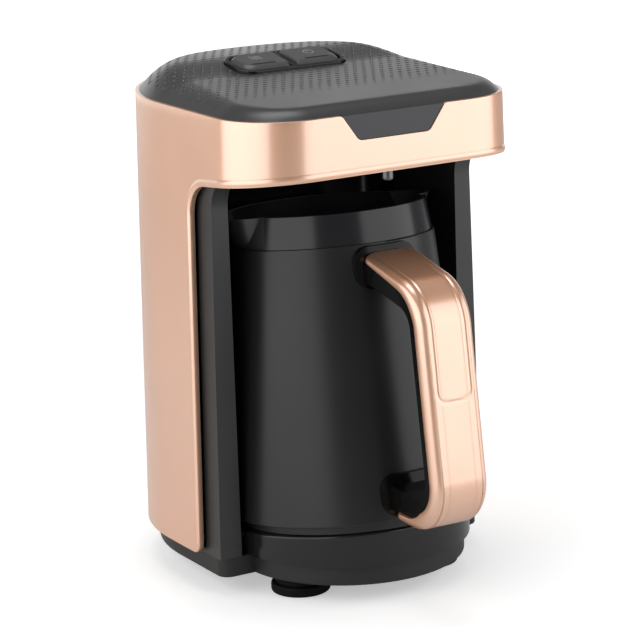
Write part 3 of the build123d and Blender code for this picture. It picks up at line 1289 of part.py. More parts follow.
# The liner fills the channel and makes the grip's inner face.
with BuildPart() as handle_liner:
    liner_inset = HANDLE_SHELL_WALL + HANDLE_FIT
    add(handle_slab(liner_inset, HANDLE_HALF_WIDTH - liner_inset))
    add(handle_slab(HANDLE_SHELL_DEPTH + HANDLE_LINER_DEPTH, FAR), mode=Mode.SUBTRACT)
    add(handle_trim(pad_grow), mode=Mode.SUBTRACT)
    add(
        front_bores(0, HANDLE_SCREW_REACH + SCREW_CLEARANCE, SCREW_RADIUS + SCREW_CLEARANCE),
        mode=Mode.SUBTRACT,
    )
handle_liner.part.label = "handle_liner"
export_step(handle_liner.part, "parts/handle_liner.step")

# A pad stands between the jacket and each root of the handle.
for pad_name, pad_screw in (("handle_pad_upper", upper_screw), ("handle_pad_lower", LOWER_SCREW)):
    pad_z = front_wall(pad_screw).origin.Z
    with BuildPart() as pad:
        add(pot_cone(POT_SHELL_LOW, shoulder, HANDLE_PAD_DEPTH))
        add(handle_trim(HANDLE_PAD_CLEARANCE / 2), mode=Mode.SUBTRACT)
        add(
            handle_window(
                PAD_HALF_WIDTH, pad_z - PAD_HEIGHT / 2, pad_z + PAD_HEIGHT / 2, PAD_CORNER_RADIUS
            ),
            mode=Mode.INTERSECT,
        )
        add(front_bores(0, FAR, SCREW_RADIUS + SCREW_CLEARANCE), mode=Mode.SUBTRACT)
    pad.part.label = pad_name
    export_step(pad.part, f"parts/{pad_name}.step")

# The inset is a long tongue in the shell's outer face, which runs from the
# grip over the knee to the root.
with BuildPart() as handle_inset:
    add(handle_slab(-INSET_PROUD, HANDLE_HALF_WIDTH))
    add(handle_slab(inset_floor, FAR), mode=Mode.SUBTRACT)
    add(handle_trim(pad_grow), mode=Mode.SUBTRACT)
    add(
        handle_window(INSET_HALF_WIDTH, INSET_LOW_Z, inset_top_z, INSET_CORNER_RADIUS),
        mode=Mode.INTERSECT,
    )
handle_inset.part.label = "handle_inset"
export_step(handle_inset.part, "parts/handle_inset.step")

# Two screws with thin heads hold the handle from inside the jacket.
head_out = -JACKET_WALL - HANDLE_SCREW_SEAT
with BuildPart() as handle_screws:
    add(front_bores(head_out, HANDLE_SCREW_REACH, SCREW_RADIUS))
    add(front_bores(head_out - HANDLE_SCREW_HEAD, head_out, HANDLE_SCREW_HEAD_RADIUS))
handle_screws.part.label = "handle_screws"
export_step(handle_screws.part, "parts/handle_screws.step")
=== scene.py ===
import bmesh
import bpy
import numpy as np
from mathutils import Matrix, Vector
from mathutils.geometry import delaunay_2d_cdt


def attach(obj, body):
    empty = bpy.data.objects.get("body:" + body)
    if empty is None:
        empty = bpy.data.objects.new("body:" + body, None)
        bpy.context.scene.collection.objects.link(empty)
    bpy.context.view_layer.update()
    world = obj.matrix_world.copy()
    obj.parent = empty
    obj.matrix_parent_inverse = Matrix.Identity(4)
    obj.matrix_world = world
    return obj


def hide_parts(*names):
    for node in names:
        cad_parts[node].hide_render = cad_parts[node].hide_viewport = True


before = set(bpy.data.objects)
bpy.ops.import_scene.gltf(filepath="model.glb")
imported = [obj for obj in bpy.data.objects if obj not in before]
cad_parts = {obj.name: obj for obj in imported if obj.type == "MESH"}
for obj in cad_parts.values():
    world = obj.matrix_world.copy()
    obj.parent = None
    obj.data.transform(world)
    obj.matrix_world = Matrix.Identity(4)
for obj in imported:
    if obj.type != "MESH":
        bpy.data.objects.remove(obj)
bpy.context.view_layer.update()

# ================================================================ table and camera
# The machine stands on a plain white table in a bright room.  Large soft panels
# light it from the left, the right and behind, and a fourth lamp hangs above.
CAMERA_PLACE = (-0.6129, -1.0705, 0.4143)
CAMERA_RIGHT = (0.86149, -0.50673, -0.03255)
CAMERA_UP = (0.14961, 0.19204, 0.96993)
CAMERA_BACK = (-0.48523, -0.84044, 0.24125)
CAMERA_LENS = 160.14
CAMERA_SENSOR = 36.0
VIEW_END = 60.0
LAMPS = (
    # name, place, target, width and height in metres, watts
    ("panel_left", (-0.64, -0.08, 0.40), (0.0, -0.08, 0.40), (1.14, 0.78), 5.0),
    ("panel_right", (0.4475, -0.49, 0.36), (-0.19, 0.28, 0.36), (0.913, 0.70), 3.5),
    ("panel_behind", (0.35, 1.30, 0.33), (0.0, 0.0, 0.30), (3.2, 0.64), 6.8),
    ("lamp_above", (0.0, 0.1, 1.5), (0.0, 0.0, 0.15), (0.9, 0.7), 6.0),
)
WHITE = (1.0, 1.0, 1.0, 1.0)
ROOM_STRENGTH = 0.2
BACKGROUND_STRENGTH = 1.0
TABLE_HALF = 9.0
TABLE_COLOUR = (0.86, 0.86, 0.86, 1.0)
TABLE_ROUGH = 0.6
TABLE_FADE_START = 0.35
TABLE_FADE_END = 1.1
TABLE_GLOW_NEAR = 0.42
TABLE_GLOW_FAR = 1.0

camera_data = bpy.data.cameras.new("camera")
camera_data.lens = CAMERA_LENS
camera_data.sensor_width = CAMERA_SENSOR
camera_data.clip_end = VIEW_END
camera = bpy.data.objects.new("camera", camera_data)
bpy.context.scene.collection.objects.link(camera)
turn = Matrix((CAMERA_RIGHT, CAMERA_UP, CAMERA_BACK)).transposed().to_4x4()
camera.matrix_world = Matrix.Translation(CAMERA_PLACE) @ turn
bpy.context.scene.camera = camera
bpy.context.scene.view_settings.view_transform = "Standard"


def hang_lamp(name, place, target, size, watts):
    """A white rectangular lamp at a place, facing a target, unseen by the camera."""
    data = bpy.data.lights.new(name, "AREA")
    data.shape = "RECTANGLE"
    data.size, data.size_y = size
    data.energy = watts
    light = bpy.data.objects.new(name, data)
    bpy.context.scene.collection.objects.link(light)
    aim = (Vector(target) - Vector(place)).to_track_quat("-Z", "Y")
    light.matrix_world = Matrix.Translation(place) @ aim.to_matrix().to_4x4()
    light.visible_camera = False


for lamp in LAMPS:
    hang_lamp(*lamp)

world = bpy.data.worlds.new("room")
bpy.context.scene.world = world
world.use_nodes = True
room = world.node_tree
room.nodes.clear()
room_ray = room.nodes.new("ShaderNodeLightPath")
room_light = room.nodes.new("ShaderNodeBackground")
room_light.inputs["Color"].default_value = WHITE
room_light.inputs["Strength"].default_value = ROOM_STRENGTH
room_white = room.nodes.new("ShaderNodeBackground")
room_white.inputs["Color"].default_value = WHITE
room_white.inputs["Strength"].default_value = BACKGROUND_STRENGTH
room_mix = room.nodes.new("ShaderNodeMixShader")
room_out = room.nodes.new("ShaderNodeOutputWorld")
room.links.new(room_ray.outputs["Is Camera Ray"], room_mix.inputs[0])
room.links.new(room_light.outputs[0], room_mix.inputs[1])
room.links.new(room_white.outputs[0], room_mix.inputs[2])
room.links.new(room_mix.outputs[0], room_out.inputs[0])

table_mesh = bpy.data.meshes.new("table")
table_corners = [
    (x * TABLE_HALF, y * TABLE_HALF, 0.0) for x, y in ((-1, -1), (1, -1), (1, 1), (-1, 1))
]
table_mesh.from_pydata(table_corners, [], [(0, 1, 2, 3)])
table = bpy.data.objects.new("table", table_mesh)
bpy.context.scene.collection.objects.link(table)
table_white = bpy.data.materials.new("table_white")
table_white.use_nodes = True
table_tree = table_white.node_tree
table_shader = table_tree.nodes["Principled BSDF"]
table_shader.inputs["Base Color"].default_value = TABLE_COLOUR
table_shader.inputs["Roughness"].default_value = TABLE_ROUGH
table_glow = table_tree.nodes.new("ShaderNodeEmission")
table_place = table_tree.nodes.new("ShaderNodeTexCoord")
table_reach = table_tree.nodes.new("ShaderNodeVectorMath")
table_reach.operation = "LENGTH"
table_tree.links.new(table_place.outputs["Object"], table_reach.inputs[0])
table_fade = table_tree.nodes.new("ShaderNodeMapRange")
table_fade.inputs["From Min"].default_value = TABLE_FADE_START
table_fade.inputs["From Max"].default_value = TABLE_FADE_END
table_fade.inputs["To Min"].default_value = TABLE_GLOW_NEAR
table_fade.inputs["To Max"].default_value = TABLE_GLOW_FAR
table_tree.links.new(table_reach.outputs["Value"], table_fade.inputs["Value"])
table_tree.links.new(table_fade.outputs["Result"], table_glow.inputs["Strength"])
table_ray = table_tree.nodes.new("ShaderNodeLightPath")
table_lift = table_tree.nodes.new("ShaderNodeAddShader")
table_mix = table_tree.nodes.new("ShaderNodeMixShader")
table_out = table_tree.nodes["Material Output"]
table_tree.links.new(table_shader.outputs[0], table_lift.inputs[0])
table_tree.links.new(table_glow.outputs[0], table_lift.inputs[1])
table_tree.links.new(table_ray.outputs["Is Camera Ray"], table_mix.inputs[0])
table_tree.links.new(table_shader.outputs[0], table_mix.inputs[1])
table_tree.links.new(table_lift.outputs[0], table_mix.inputs[2])
table_tree.links.new(table_mix.outputs[0], table_out.inputs[0])
table.data.materials.append(table_white)

# ================================================================ pan and feet
# The pan is a tray of matt black plastic that closes the machine below.  Four
# round rubber feet are pushed on under it, and four screws hold the deck down.
MM = 0.001
CLOUD_SCALE = 38.0
CLOUD_DETAIL = 4.0
ROUGH_DRIFT = 0.12
GRAIN_DETAIL = 2.0
GRAIN_STRENGTH = 0.6


def finish(
    name, colour, rough, metal=0.0, coat=0.0, coat_rough=0.1, drift=0.06, grain=0.5,
    grain_depth=0.02, coat_ior=1.5, shine=0.5,
):
    """Principled material whose surface isn't even.

    The colour drifts by a share and the roughness by another with a slow cloud
    noise, and a fine noise, with grain and depth in millimetres, bumps it.
    """
    material = bpy.data.materials.new(name)
    material.use_nodes = True
    tree = material.node_tree
    shader = tree.nodes["Principled BSDF"]
    shader.inputs["Metallic"].default_value = metal
    shader.inputs["Coat Weight"].default_value = coat
    shader.inputs["Coat Roughness"].default_value = coat_rough
    shader.inputs["Coat IOR"].default_value = coat_ior
    shader.inputs["Specular IOR Level"].default_value = shine
    place = tree.nodes.new("ShaderNodeTexCoord")
    cloud = tree.nodes.new("ShaderNodeTexNoise")
    cloud.inputs["Scale"].default_value = CLOUD_SCALE
    cloud.inputs["Detail"].default_value = CLOUD_DETAIL
    tree.links.new(place.outputs["Object"], cloud.inputs["Vector"])
    tint = tree.nodes.new("ShaderNodeMix")
    tint.data_type = "RGBA"
    tint.inputs["A"].default_value = (*(c * (1 - drift) for c in colour), 1.0)
    tint.inputs["B"].default_value = (*(min(1.0, c * (1 + drift)) for c in colour), 1.0)
    tree.links.new(cloud.outputs["Fac"], tint.inputs["Factor"])
    tree.links.new(tint.outputs["Result"], shader.inputs["Base Color"])
    polish = tree.nodes.new("ShaderNodeMapRange")
    polish.inputs["To Min"].default_value = rough * (1 - ROUGH_DRIFT)
    polish.inputs["To Max"].default_value = min(1.0, rough * (1 + ROUGH_DRIFT))
    tree.links.new(cloud.outputs["Fac"], polish.inputs["Value"])
    tree.links.new(polish.outputs["Result"], shader.inputs["Roughness"])
    speck = tree.nodes.new("ShaderNodeTexNoise")
    speck.inputs["Scale"].default_value = 1.0 / (grain * MM)
    speck.inputs["Detail"].default_value = GRAIN_DETAIL
    tree.links.new(place.outputs["Object"], speck.inputs["Vector"])
    bump = tree.nodes.new("ShaderNodeBump")
    bump.inputs["Strength"].default_value = GRAIN_STRENGTH
    bump.inputs["Distance"].default_value = grain_depth * MM
    tree.links.new(speck.outputs["Fac"], bump.inputs["Height"])
    tree.links.new(bump.outputs["Normal"], shader.inputs["Normal"])
    return material


def dress(material, *names):
    """Gives CAD nodes their material."""
    for name in names:
        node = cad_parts[name]
        node.data.materials.clear()
        node.data.materials.append(material)


matt_black = finish("matt_black", (0.013, 0.013, 0.0125), 0.5, grain=0.35, grain_depth=0.05, shine=0.4)
foot_rubber = finish("foot_rubber", (0.003, 0.003, 0.003), 0.6, grain=0.4, grain_depth=0.03, shine=0.12)
plated_steel = finish("plated_steel", (0.55, 0.55, 0.56), 0.3, metal=1.0, grain=0.3)
dress(matt_black, "base_pan")
dress(foot_rubber, "foot_front_left", "foot_front_right", "foot_back_left", "foot_back_right")
dress(plated_steel, "base_screws")

# ================================================================ deck
# The deck is one glossy black moulding: a round step that the pot stands on,
# with a tongue that fills the floor of the bay.
gloss_black = finish("gloss_black", (0.007, 0.007, 0.008), 0.2, grain=1.2, grain_depth=0.004, shine=0.4)
dress(gloss_black, "deck")

# ================================================================ inside of the bay
# The bay is lined with glossy black walls between two satin cheeks.  Boards,
# wires and the pot's socket are screwed behind and into them.
circuit_green = finish("circuit_green", (0.03, 0.16, 0.07), 0.4, grain=0.5)
grey_block = finish("grey_block", (0.12, 0.12, 0.13), 0.45, grain=0.4)
grey_skin = finish("grey_skin", (0.5, 0.5, 0.5), 0.5, grain=0.4)
contact_brass = finish("contact_brass", (0.72, 0.52, 0.22), 0.25, metal=1.0, grain=0.3)
lens_smoke = finish("lens_smoke", (0.05, 0.05, 0.055), 0.08, coat=1.0, grain=1.0, grain_depth=0.002)
cheek_black = finish("cheek_black", (0.022, 0.022, 0.022), 0.42, grain=0.6, grain_depth=0.01)
dress(gloss_black, "bay_liner")
dress(cheek_black, "cheek_left", "cheek_right")
dress(circuit_green, "power_board", "control_board", "sensor_board")
dress(grey_block, "transformer", "relay", "terminal_block", "switch_left", "switch_right")
dress(grey_block, "plunger_left", "plunger_right", "buzzer")
dress(plated_steel, "power_screws", "control_screws")
dress(grey_skin, "head_cable", "socket_wires")
dress(matt_black, "connector_socket", "cord_gland", "gland_nut", "head_floor")
dress(contact_brass, "socket_contacts", "plug_contacts")
dress(lens_smoke, "sensor_window")

# ================================================================ wrap
# The wrap is the copper-coloured outside: a band round the head and a panel on
# each side, moulded thin, with rolled edges, and lacquered with fine metal flake.
FRONT_Y = -76.3
HALF_WIDTH_TOP = 68.2
HALF_WIDTH_LOW = 71.5
CORNER_RADIUS = 29.8
SIDE_END_Y = 8.0
BACK_REACH = 74.0
WRAP_TOP_Z = 213.1
WRAP_LOW_Z = 17.5
WRAP_THICKNESS = 2.4
LIP_RADIUS = 1.3
PANEL_FRONT_Y = -21.1
PANEL_FOOT_RADIUS = 5.0
PANEL_CURVE_RADIUS = 14.0
UNDERSIDE_Z = 187.3
LEAN = np.radians(6.4)
NOTCH_TOP_X = 25.2
NOTCH_LOW_X = 17.2
NOTCH_DEPTH = 11.1
NOTCH_FOOT_RADIUS = 3.2
NOTCH_LIP_RADIUS = 2.4
NOTCH_ARC_POINTS = 7
NOTCH_FLAT_POINTS = 8
NOTCH_SLOPE_POINTS = 5
CORNER_POINTS = 22
SIDE_POINTS = 6
CURVE_POINTS = 16
BAND_ROWS = 12
PANEL_FOOT_POINTS = 6
PANEL_ROWS = 32
PANEL_COLUMNS = 10
BACK_COLUMNS = 44
LIP_SEGMENTS = 4
LIP_ANGLE = np.radians(50)
MERGE_DISTANCE = 2e-6
THIN_EDGE = 1e-6


def body_xy(u, height, inset=0.0):
    """Point of the body's outline at a height, pulled in by an inset.

    The size of u runs from 0 to 1 along half of the flat front, to 2 round the
    corner, to 3 along the straight side and to 4 round a quarter of an ellipse
    behind.  A negative u is the left half.
    """
    share = (height - WRAP_LOW_Z) / (WRAP_TOP_Z - WRAP_LOW_Z)
    half = HALF_WIDTH_LOW + share * (HALF_WIDTH_TOP - HALF_WIDTH_LOW) - inset
    reach = BACK_REACH - HALF_WIDTH_TOP + half
    corner = CORNER_RADIUS - inset
    front = FRONT_Y + inset
    way = np.abs(u)
    turn = np.clip(way - 1, 0, 1) * np.pi / 2
    side = np.clip(way - 2, 0, 1) * (SIDE_END_Y - front - corner)
    sweep = np.clip(way - 3, 0, 1) * np.pi / 2
    x = np.clip(way, 0, 1) * (half - corner) + corner * np.sin(turn)
    y = front + corner * (1 - np.cos(turn)) + side
    x = np.where(way > 3, half * np.cos(sweep), x)
    y = np.where(way > 3, SIDE_END_Y + reach * np.sin(sweep), y)
    return np.sign(u) * x, y


def round_path(corners, radii, steps=8):
    """Path through corner points, each inner corner rounded by an arc.

    The tangent points lie r / tan(half the inside angle) from the corner, and
    the arc between them is sampled evenly by angle.
    """
    corners = np.asarray(corners, float)
    path = [corners[:1]]
    for before, here, after, radius in zip(corners, corners[1:], corners[2:], radii):
        to_before = (before - here) / np.linalg.norm(before - here)
        to_after = (after - here) / np.linalg.norm(after - here)
        half_angle = np.arccos(np.clip(to_before @ to_after, -1, 1)) / 2
        middle = to_before + to_after
        centre = here + middle / np.linalg.norm(middle) * radius / np.sin(half_angle)
        start = here + to_before * radius / np.tan(half_angle) - centre
        end = here + to_after * radius / np.tan(half_angle) - centre
        share = np.linspace(0, 1, steps)[:, None]
        angle = np.pi - 2 * half_angle
        arc = (np.sin((1 - share) * angle) * start + np.sin(share * angle) * end) / np.sin(angle)
        path.append(centre + arc)
    path.append(corners[-1:])
    return np.concatenate(path)


def spread(path, count):
    """The same path with its points spread evenly by length."""
    length = np.concatenate([[0], np.cumsum(np.linalg.norm(np.diff(path, axis=0), axis=1))])
    wanted = np.linspace(0, length[-1], count)
    return np.stack([np.interp(wanted, length, path[:, k]) for k in range(path.shape[1])], -1)


def sheet(grid, closed=False):
    """Points and quads of a grid of points; closed joins the last column to the first."""
    rows, columns = grid.shape[:2]
    row, column = np.meshgrid(
        np.arange(rows - 1), np.arange(columns if closed else columns - 1), indexing="ij"
    )
    here = row * columns + column
    beside = row * columns + (column + 1) % columns
    quads = np.stack([here, beside, beside + columns, here + columns], -1).reshape(-1, 4)
    return grid.reshape(-1, 3), quads.tolist()


def join(*parts):
    """One list of points and one of faces from several."""
    points, faces, start = [], [], 0
    for part_points, part_faces in parts:
        points.append(np.asarray(part_points, float))
        faces += [[index + start for index in face] for face in part_faces]
        start += len(part_points)
    return np.concatenate(points), faces


def piece(name, shape, material, body, nodes=(), sharp=38.0):
    """Makes the mesh, merges its seams, turns its faces out, attaches it to its body and hides the CAD
    nodes it replaces.
    """
    points, faces = shape
    mesh = bpy.data.meshes.new(name)
    mesh.from_pydata((np.asarray(points) * MM).tolist(), [], faces)
    work = bmesh.new()
    work.from_mesh(mesh)
    bmesh.ops.remove_doubles(work, verts=work.verts, dist=MERGE_DISTANCE)
    bmesh.ops.dissolve_degenerate(work, edges=work.edges, dist=THIN_EDGE)
    bmesh.ops.recalc_face_normals(work, faces=work.faces)
    work.to_mesh(mesh)
    work.free()
    mesh.shade_smooth()
    mesh.set_sharp_from_angle(angle=np.radians(sharp))
    mesh.materials.append(material)
    made = bpy.data.objects.new(name, mesh)
    bpy.context.scene.collection.objects.link(made)
    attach(made, body)
    if nodes:
        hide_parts(*nodes)
    return made


def thicken(made, thickness, lip):
    """Gives a sheet its wall, inwards, and rounds its open edges by a lip radius."""
    wall = made.modifiers.new("wall", "SOLIDIFY")
    wall.thickness = thickness * MM
    wall.offset = -1.0
    wall.use_even_offset = True
    roll = made.modifiers.new("roll", "BEVEL")
    roll.width = lip * MM
    roll.segments = LIP_SEGMENTS
    roll.limit_method = "ANGLE"
    roll.angle_limit = LIP_ANGLE


def edge_height(y):
    """Lower edge of the band: a leaning line that turns down into the panel by an arc."""
    slope = np.tan(LEAN)
    centre_y = PANEL_FRONT_Y - PANEL_CURVE_RADIUS
    centre_z = UNDERSIDE_Z - slope * (centre_y - FRONT_Y) - PANEL_CURVE_RADIUS / np.cos(LEAN)
    line = UNDERSIDE_Z - slope * (y - FRONT_Y)
    across = np.clip((y - centre_y) / PANEL_CURVE_RADIUS, -1, 1)
    arc = centre_z + PANEL_CURVE_RADIUS * np.sqrt(1 - across**2)
    return np.where(across > np.sin(LEAN), arc, line)


# The band is a grid between its lower edge and its top edge, which dips at the notch.
side_start_y = FRONT_Y + CORNER_RADIUS
side_length = SIDE_END_Y - side_start_y
curve_centre_y = PANEL_FRONT_Y - PANEL_CURVE_RADIUS
curve_y = curve_centre_y + PANEL_CURVE_RADIUS * np.sin(np.linspace(LEAN, np.pi / 2, CURVE_POINTS))
notch = round_path(
    [
        (0.0, WRAP_TOP_Z - NOTCH_DEPTH),
        (NOTCH_LOW_X, WRAP_TOP_Z - NOTCH_DEPTH),
        (NOTCH_TOP_X, WRAP_TOP_Z),
        (HALF_WIDTH_TOP - CORNER_RADIUS, WRAP_TOP_Z),
    ],
    (NOTCH_FOOT_RADIUS, NOTCH_LIP_RADIUS),
    NOTCH_ARC_POINTS,
)
foot_start, foot_end = 1, NOTCH_ARC_POINTS
lip_start, lip_end = foot_end + 1, 2 * NOTCH_ARC_POINTS
notch = np.concatenate([
    spread(notch[:foot_start + 1], NOTCH_FLAT_POINTS)[:-1],
    notch[foot_start:foot_end + 1],
    spread(notch[foot_end:lip_start + 1], NOTCH_SLOPE_POINTS)[1:-1],
    notch[lip_start:lip_end + 1],
    spread(notch[lip_end:], NOTCH_FLAT_POINTS)[1:],
])
notch_way = np.linspace(0, 1, len(notch))
notch_top = notch[:, 0] / (HALF_WIDTH_TOP - CORNER_RADIUS)
corner_way = np.linspace(1, 2, CORNER_POINTS)[1:]
side_y = np.concatenate([np.linspace(side_start_y, curve_y[0], SIDE_POINTS)[1:-1], curve_y])
side_way = 2 + (side_y - side_start_y) / side_length
half_low = np.concatenate([notch_way, corner_way, side_way])
half_top = np.concatenate([notch_top, corner_way, side_way])
half_top_z = np.concatenate([notch[:, 1], np.full(len(corner_way) + len(side_way), WRAP_TOP_Z)])
band_low = np.concatenate([-half_low[:0:-1], half_low])
band_top = np.concatenate([-half_top[:0:-1], half_top])
band_top_z = np.concatenate([half_top_z[:0:-1], half_top_z])
band_low_z = edge_height(body_xy(band_low, WRAP_TOP_Z)[1])
band_share = np.linspace(0, 1, BAND_ROWS)[:, None]
band_way = band_low + band_share * (band_top - band_low)
band_z = band_low_z + band_share * (band_top_z - band_low_z)
band_grid = np.stack([*body_xy(band_way, band_z), band_z], -1)

# A panel is a grid from its front edge, round at the foot, to the middle of the back.
curve_end_z = edge_height(np.float64(PANEL_FRONT_Y))
foot_turn = np.linspace(0, np.pi / 2, PANEL_FOOT_POINTS)
foot_z = WRAP_LOW_Z + PANEL_FOOT_RADIUS * (1 - np.cos(foot_turn))
panel_z = np.concatenate([
    foot_z,
    np.linspace(foot_z[-1], curve_end_z, PANEL_ROWS)[1:-1],
    curve_end_z + band_share[:, 0] * (WRAP_TOP_Z - curve_end_z),
])[:, None]
foot_share = np.clip(1 - (panel_z - WRAP_LOW_Z) / PANEL_FOOT_RADIUS, 0, 1)
panel_front = PANEL_FRONT_Y + PANEL_FOOT_RADIUS * (1 - np.sqrt(1 - foot_share**2))
panel_share = np.linspace(0, 1, PANEL_COLUMNS)
panel_y = panel_front + panel_share * (SIDE_END_Y - panel_front)
panel_way = 2 + (panel_y - side_start_y) / side_length
back_way = np.broadcast_to(np.linspace(3, 4, BACK_COLUMNS)[1:], (len(panel_z), BACK_COLUMNS - 1))
right_way = np.concatenate([panel_way, back_way], axis=1)
right_grid = np.stack([*body_xy(right_way, panel_z), np.broadcast_to(panel_z, right_way.shape)], -1)
left_grid = right_grid * (-1, 1, 1)

copper = finish(
    "copper", (0.78, 0.425, 0.255), 0.5, metal=0.9, coat=1.0, coat_rough=0.22, coat_ior=2.75,
    drift=0.02, grain=0.25, grain_depth=0.004,
)
wrap = piece(
    "wrap",
    join(sheet(band_grid), sheet(right_grid), sheet(left_grid)),
    copper,
    "housing",
    ("wrap_band", "wrap_left", "wrap_right", "wrap_back"),
)
thicken(wrap, WRAP_THICKNESS, LIP_RADIUS)

# ================================================================ rolled lip
# The wrap's front edge is rolled to a bead, which runs up one panel, under the
# band and down the other panel.  It is moulded with the wrap and lacquered alike.
BEAD_HALF_WIDTH = 1.5
BEAD_RISE = 0.5
BEAD_ROOT = 0.9
BEAD_SET = 1.9
BEAD_SAMPLES = 420
BEAD_DOWN_SAMPLES = 30
BEAD_COLUMNS = 11
BEAD_ROOT_SHARE = 0.8


def solid(rings):
    """Points and faces of a closed body from a stack of closed rings, capped at both ends."""
    points, faces = sheet(rings, closed=True)
    count = rings.shape[1]
    ends = np.stack([rings[0].mean(axis=0), rings[-1].mean(axis=0)])
    last = len(points)
    ring = np.arange(count)
    after = (ring + 1) % count
    top = (rings.shape[0] - 1) * count
    faces += np.stack([after, ring, np.full(count, last)], -1).tolist()
    faces += np.stack([top + ring, top + after, np.full(count, last + 1)], -1).tolist()
    return np.concatenate([points, ends]), faces


# The edge is laid out flat as (length round the body, height) and drawn as one path.
way_marks = np.array([0.0, 1.0, 2.0, 3.0])
flat_length = HALF_WIDTH_TOP - CORNER_RADIUS
corner_length = CORNER_RADIUS * np.pi / 2
length_marks = np.cumsum([0.0, flat_length, corner_length, side_length])
low_length = np.interp(half_low, way_marks, length_marks)
low_edge_z = edge_height(body_xy(half_low, WRAP_TOP_Z)[1])
down_z = np.linspace(curve_end_z, WRAP_LOW_Z + PANEL_FOOT_RADIUS, BEAD_DOWN_SAMPLES)[1:]
half_edge = np.column_stack([
    np.concatenate([low_length, np.full(len(down_z), low_length[-1])]),
    np.concatenate([low_edge_z, down_z]),
])
edge_path = spread(np.concatenate([half_edge[:0:-1] * (-1, 1), half_edge]), BEAD_SAMPLES)
edge_way = np.gradient(edge_path, axis=0)
edge_way /= np.linalg.norm(edge_way, axis=1)[:, None]
edge_in = np.stack([-edge_way[:, 1], edge_way[:, 0]], -1)
# Across the bead its rise is a parabola; two points behind it root it in the wrap.
bead_turn = np.linspace(-1, 1, BEAD_COLUMNS)
bead_across = BEAD_HALF_WIDTH * np.concatenate([bead_turn, [BEAD_ROOT_SHARE, -BEAD_ROOT_SHARE]])
bead_inset = np.concatenate([-BEAD_RISE * (1 - bead_turn**2), [BEAD_ROOT, BEAD_ROOT]])
bead_plan = edge_path[:, None] + edge_in[:, None] * (BEAD_SET + bead_across)[None, :, None]
bead_way = np.sign(bead_plan[..., 0]) * np.interp(np.abs(bead_plan[..., 0]), length_marks, way_marks)
bead_z = bead_plan[..., 1]
bead_x, bead_y = body_xy(bead_way, bead_z, bead_inset[None])
bead_grid = np.stack([bead_x, bead_y, bead_z], -1)
piece("wrap_lip", solid(bead_grid), copper, "housing", sharp=60.0)

# ================================================================ cover
# The cover is the satin charcoal lid of the head, moulded in one piece.  It
# climbs to the back, rounds over at its rim and has rows of small dimples.
COVER_LIP = 1.4
COVER_SEAM_DROP = 0.5
COVER_RIM_DEPTH = 4.0
COVER_FRONT_RISE = 3.8
COVER_BEND_RISE = 7.5
COVER_RIDGE_RISE = 11.8
COVER_RIDGE_Y = 34.0
COVER_BACK_DROP = 4.4
COVER_FRONT_SHOULDER = 6.5
COVER_SIDE_SHOULDER = 20.0
COVER_SHOULDER_Y = 38.0
DIMPLE_PITCH = 4.5
DIMPLE_RADIUS = 1.05
DIMPLE_DEPTH = 0.42
DIMPLE_FADE_Y = (-48.0, -18.0)
BEZEL_HALF_WIDTH = 27.3
BEZEL_HALF_DEPTH = 11.8
BEZEL_Y = 14.2
BEZEL_CORNER = 7.0
BEZEL_FOOT_Z = 211.0
DIMPLE_ROWS = 22
DIMPLE_COLUMNS = 16
DIMPLE_RIM_GAP = 0.9
DIMPLE_BEZEL_GAP = 0.3
DIMPLE_SHOULDER_GAP = 0.5
OUTLINE_SAMPLES = 4001
RIM_SAMPLES = 720
RING_POINTS = 300
SHOULDER_POINTS = 200
BEZEL_CORNER_POINTS = 12
# Each ring of points of a dimple: share of its radius, share of its depth, points.
DIMPLE_RINGS = ((1.22, 0.0, 12), (1.0, 0.0, 12), (0.8, 0.42, 12), (0.42, 0.86, 8), (0.0, 1.0, 1))
# Ways in from the lid's lip at which the rim has a ring of points.
EDGE_STEPS = (2.6, 1.8, 1.1, 0.5, 0.15, 0.0)
SHOULDER_STEPS = (3.6, 4.8, 6.2, 7.8)
CDT_INSIDE = 1
CDT_NEAR = 1e-6


def cover_ring(inset, count=RING_POINTS):
    """The cover's outline at an inset, with evenly spread points."""
    dense = np.linspace(-4, 4, OUTLINE_SAMPLES)
    path = spread(np.stack(body_xy(dense, WRAP_TOP_Z, inset), -1), count + 1)
    return path[:-1]


cover_rim = cover_ring(COVER_LIP, RIM_SAMPLES)


def cover_height(plan):
    """Height of the cover's top over points of the plan.

    Along the machine it leans up to the bend, climbs by a smooth step to the
    ridge and falls by a parabola behind it.  Towards its rim it rounds over
    by a parabola, over a shoulder that is narrow in front and wide behind.
    """
    y = plan[:, 1]
    lean_share = np.clip(1 - y / FRONT_Y, 0, 1)
    lean = COVER_FRONT_RISE + (COVER_BEND_RISE - COVER_FRONT_RISE) * lean_share
    step = np.clip(y / COVER_RIDGE_Y, 0, 1)
    climb = (COVER_RIDGE_RISE - COVER_BEND_RISE) * step * step * (3 - 2 * step)
    back_y = SIDE_END_Y + BACK_REACH
    fall_share = np.clip((y - COVER_RIDGE_Y) / (back_y - COVER_RIDGE_Y), 0, 1)
    fall = COVER_BACK_DROP * fall_share**2
    share = np.clip((y - FRONT_Y) / (COVER_SHOULDER_Y - FRONT_Y), 0, 1)
    shoulder = COVER_FRONT_SHOULDER + share * (COVER_SIDE_SHOULDER - COVER_FRONT_SHOULDER)
    start = plan[:, None] - cover_rim[None]
    to_rim = np.linalg.norm(start, axis=-1).min(axis=1)
    rest = np.clip(1 - to_rim / shoulder, 0, 1)
    rise = (lean + climb - fall + COVER_SEAM_DROP) * (1 - rest**2)
    return WRAP_TOP_Z - COVER_SEAM_DROP + rise


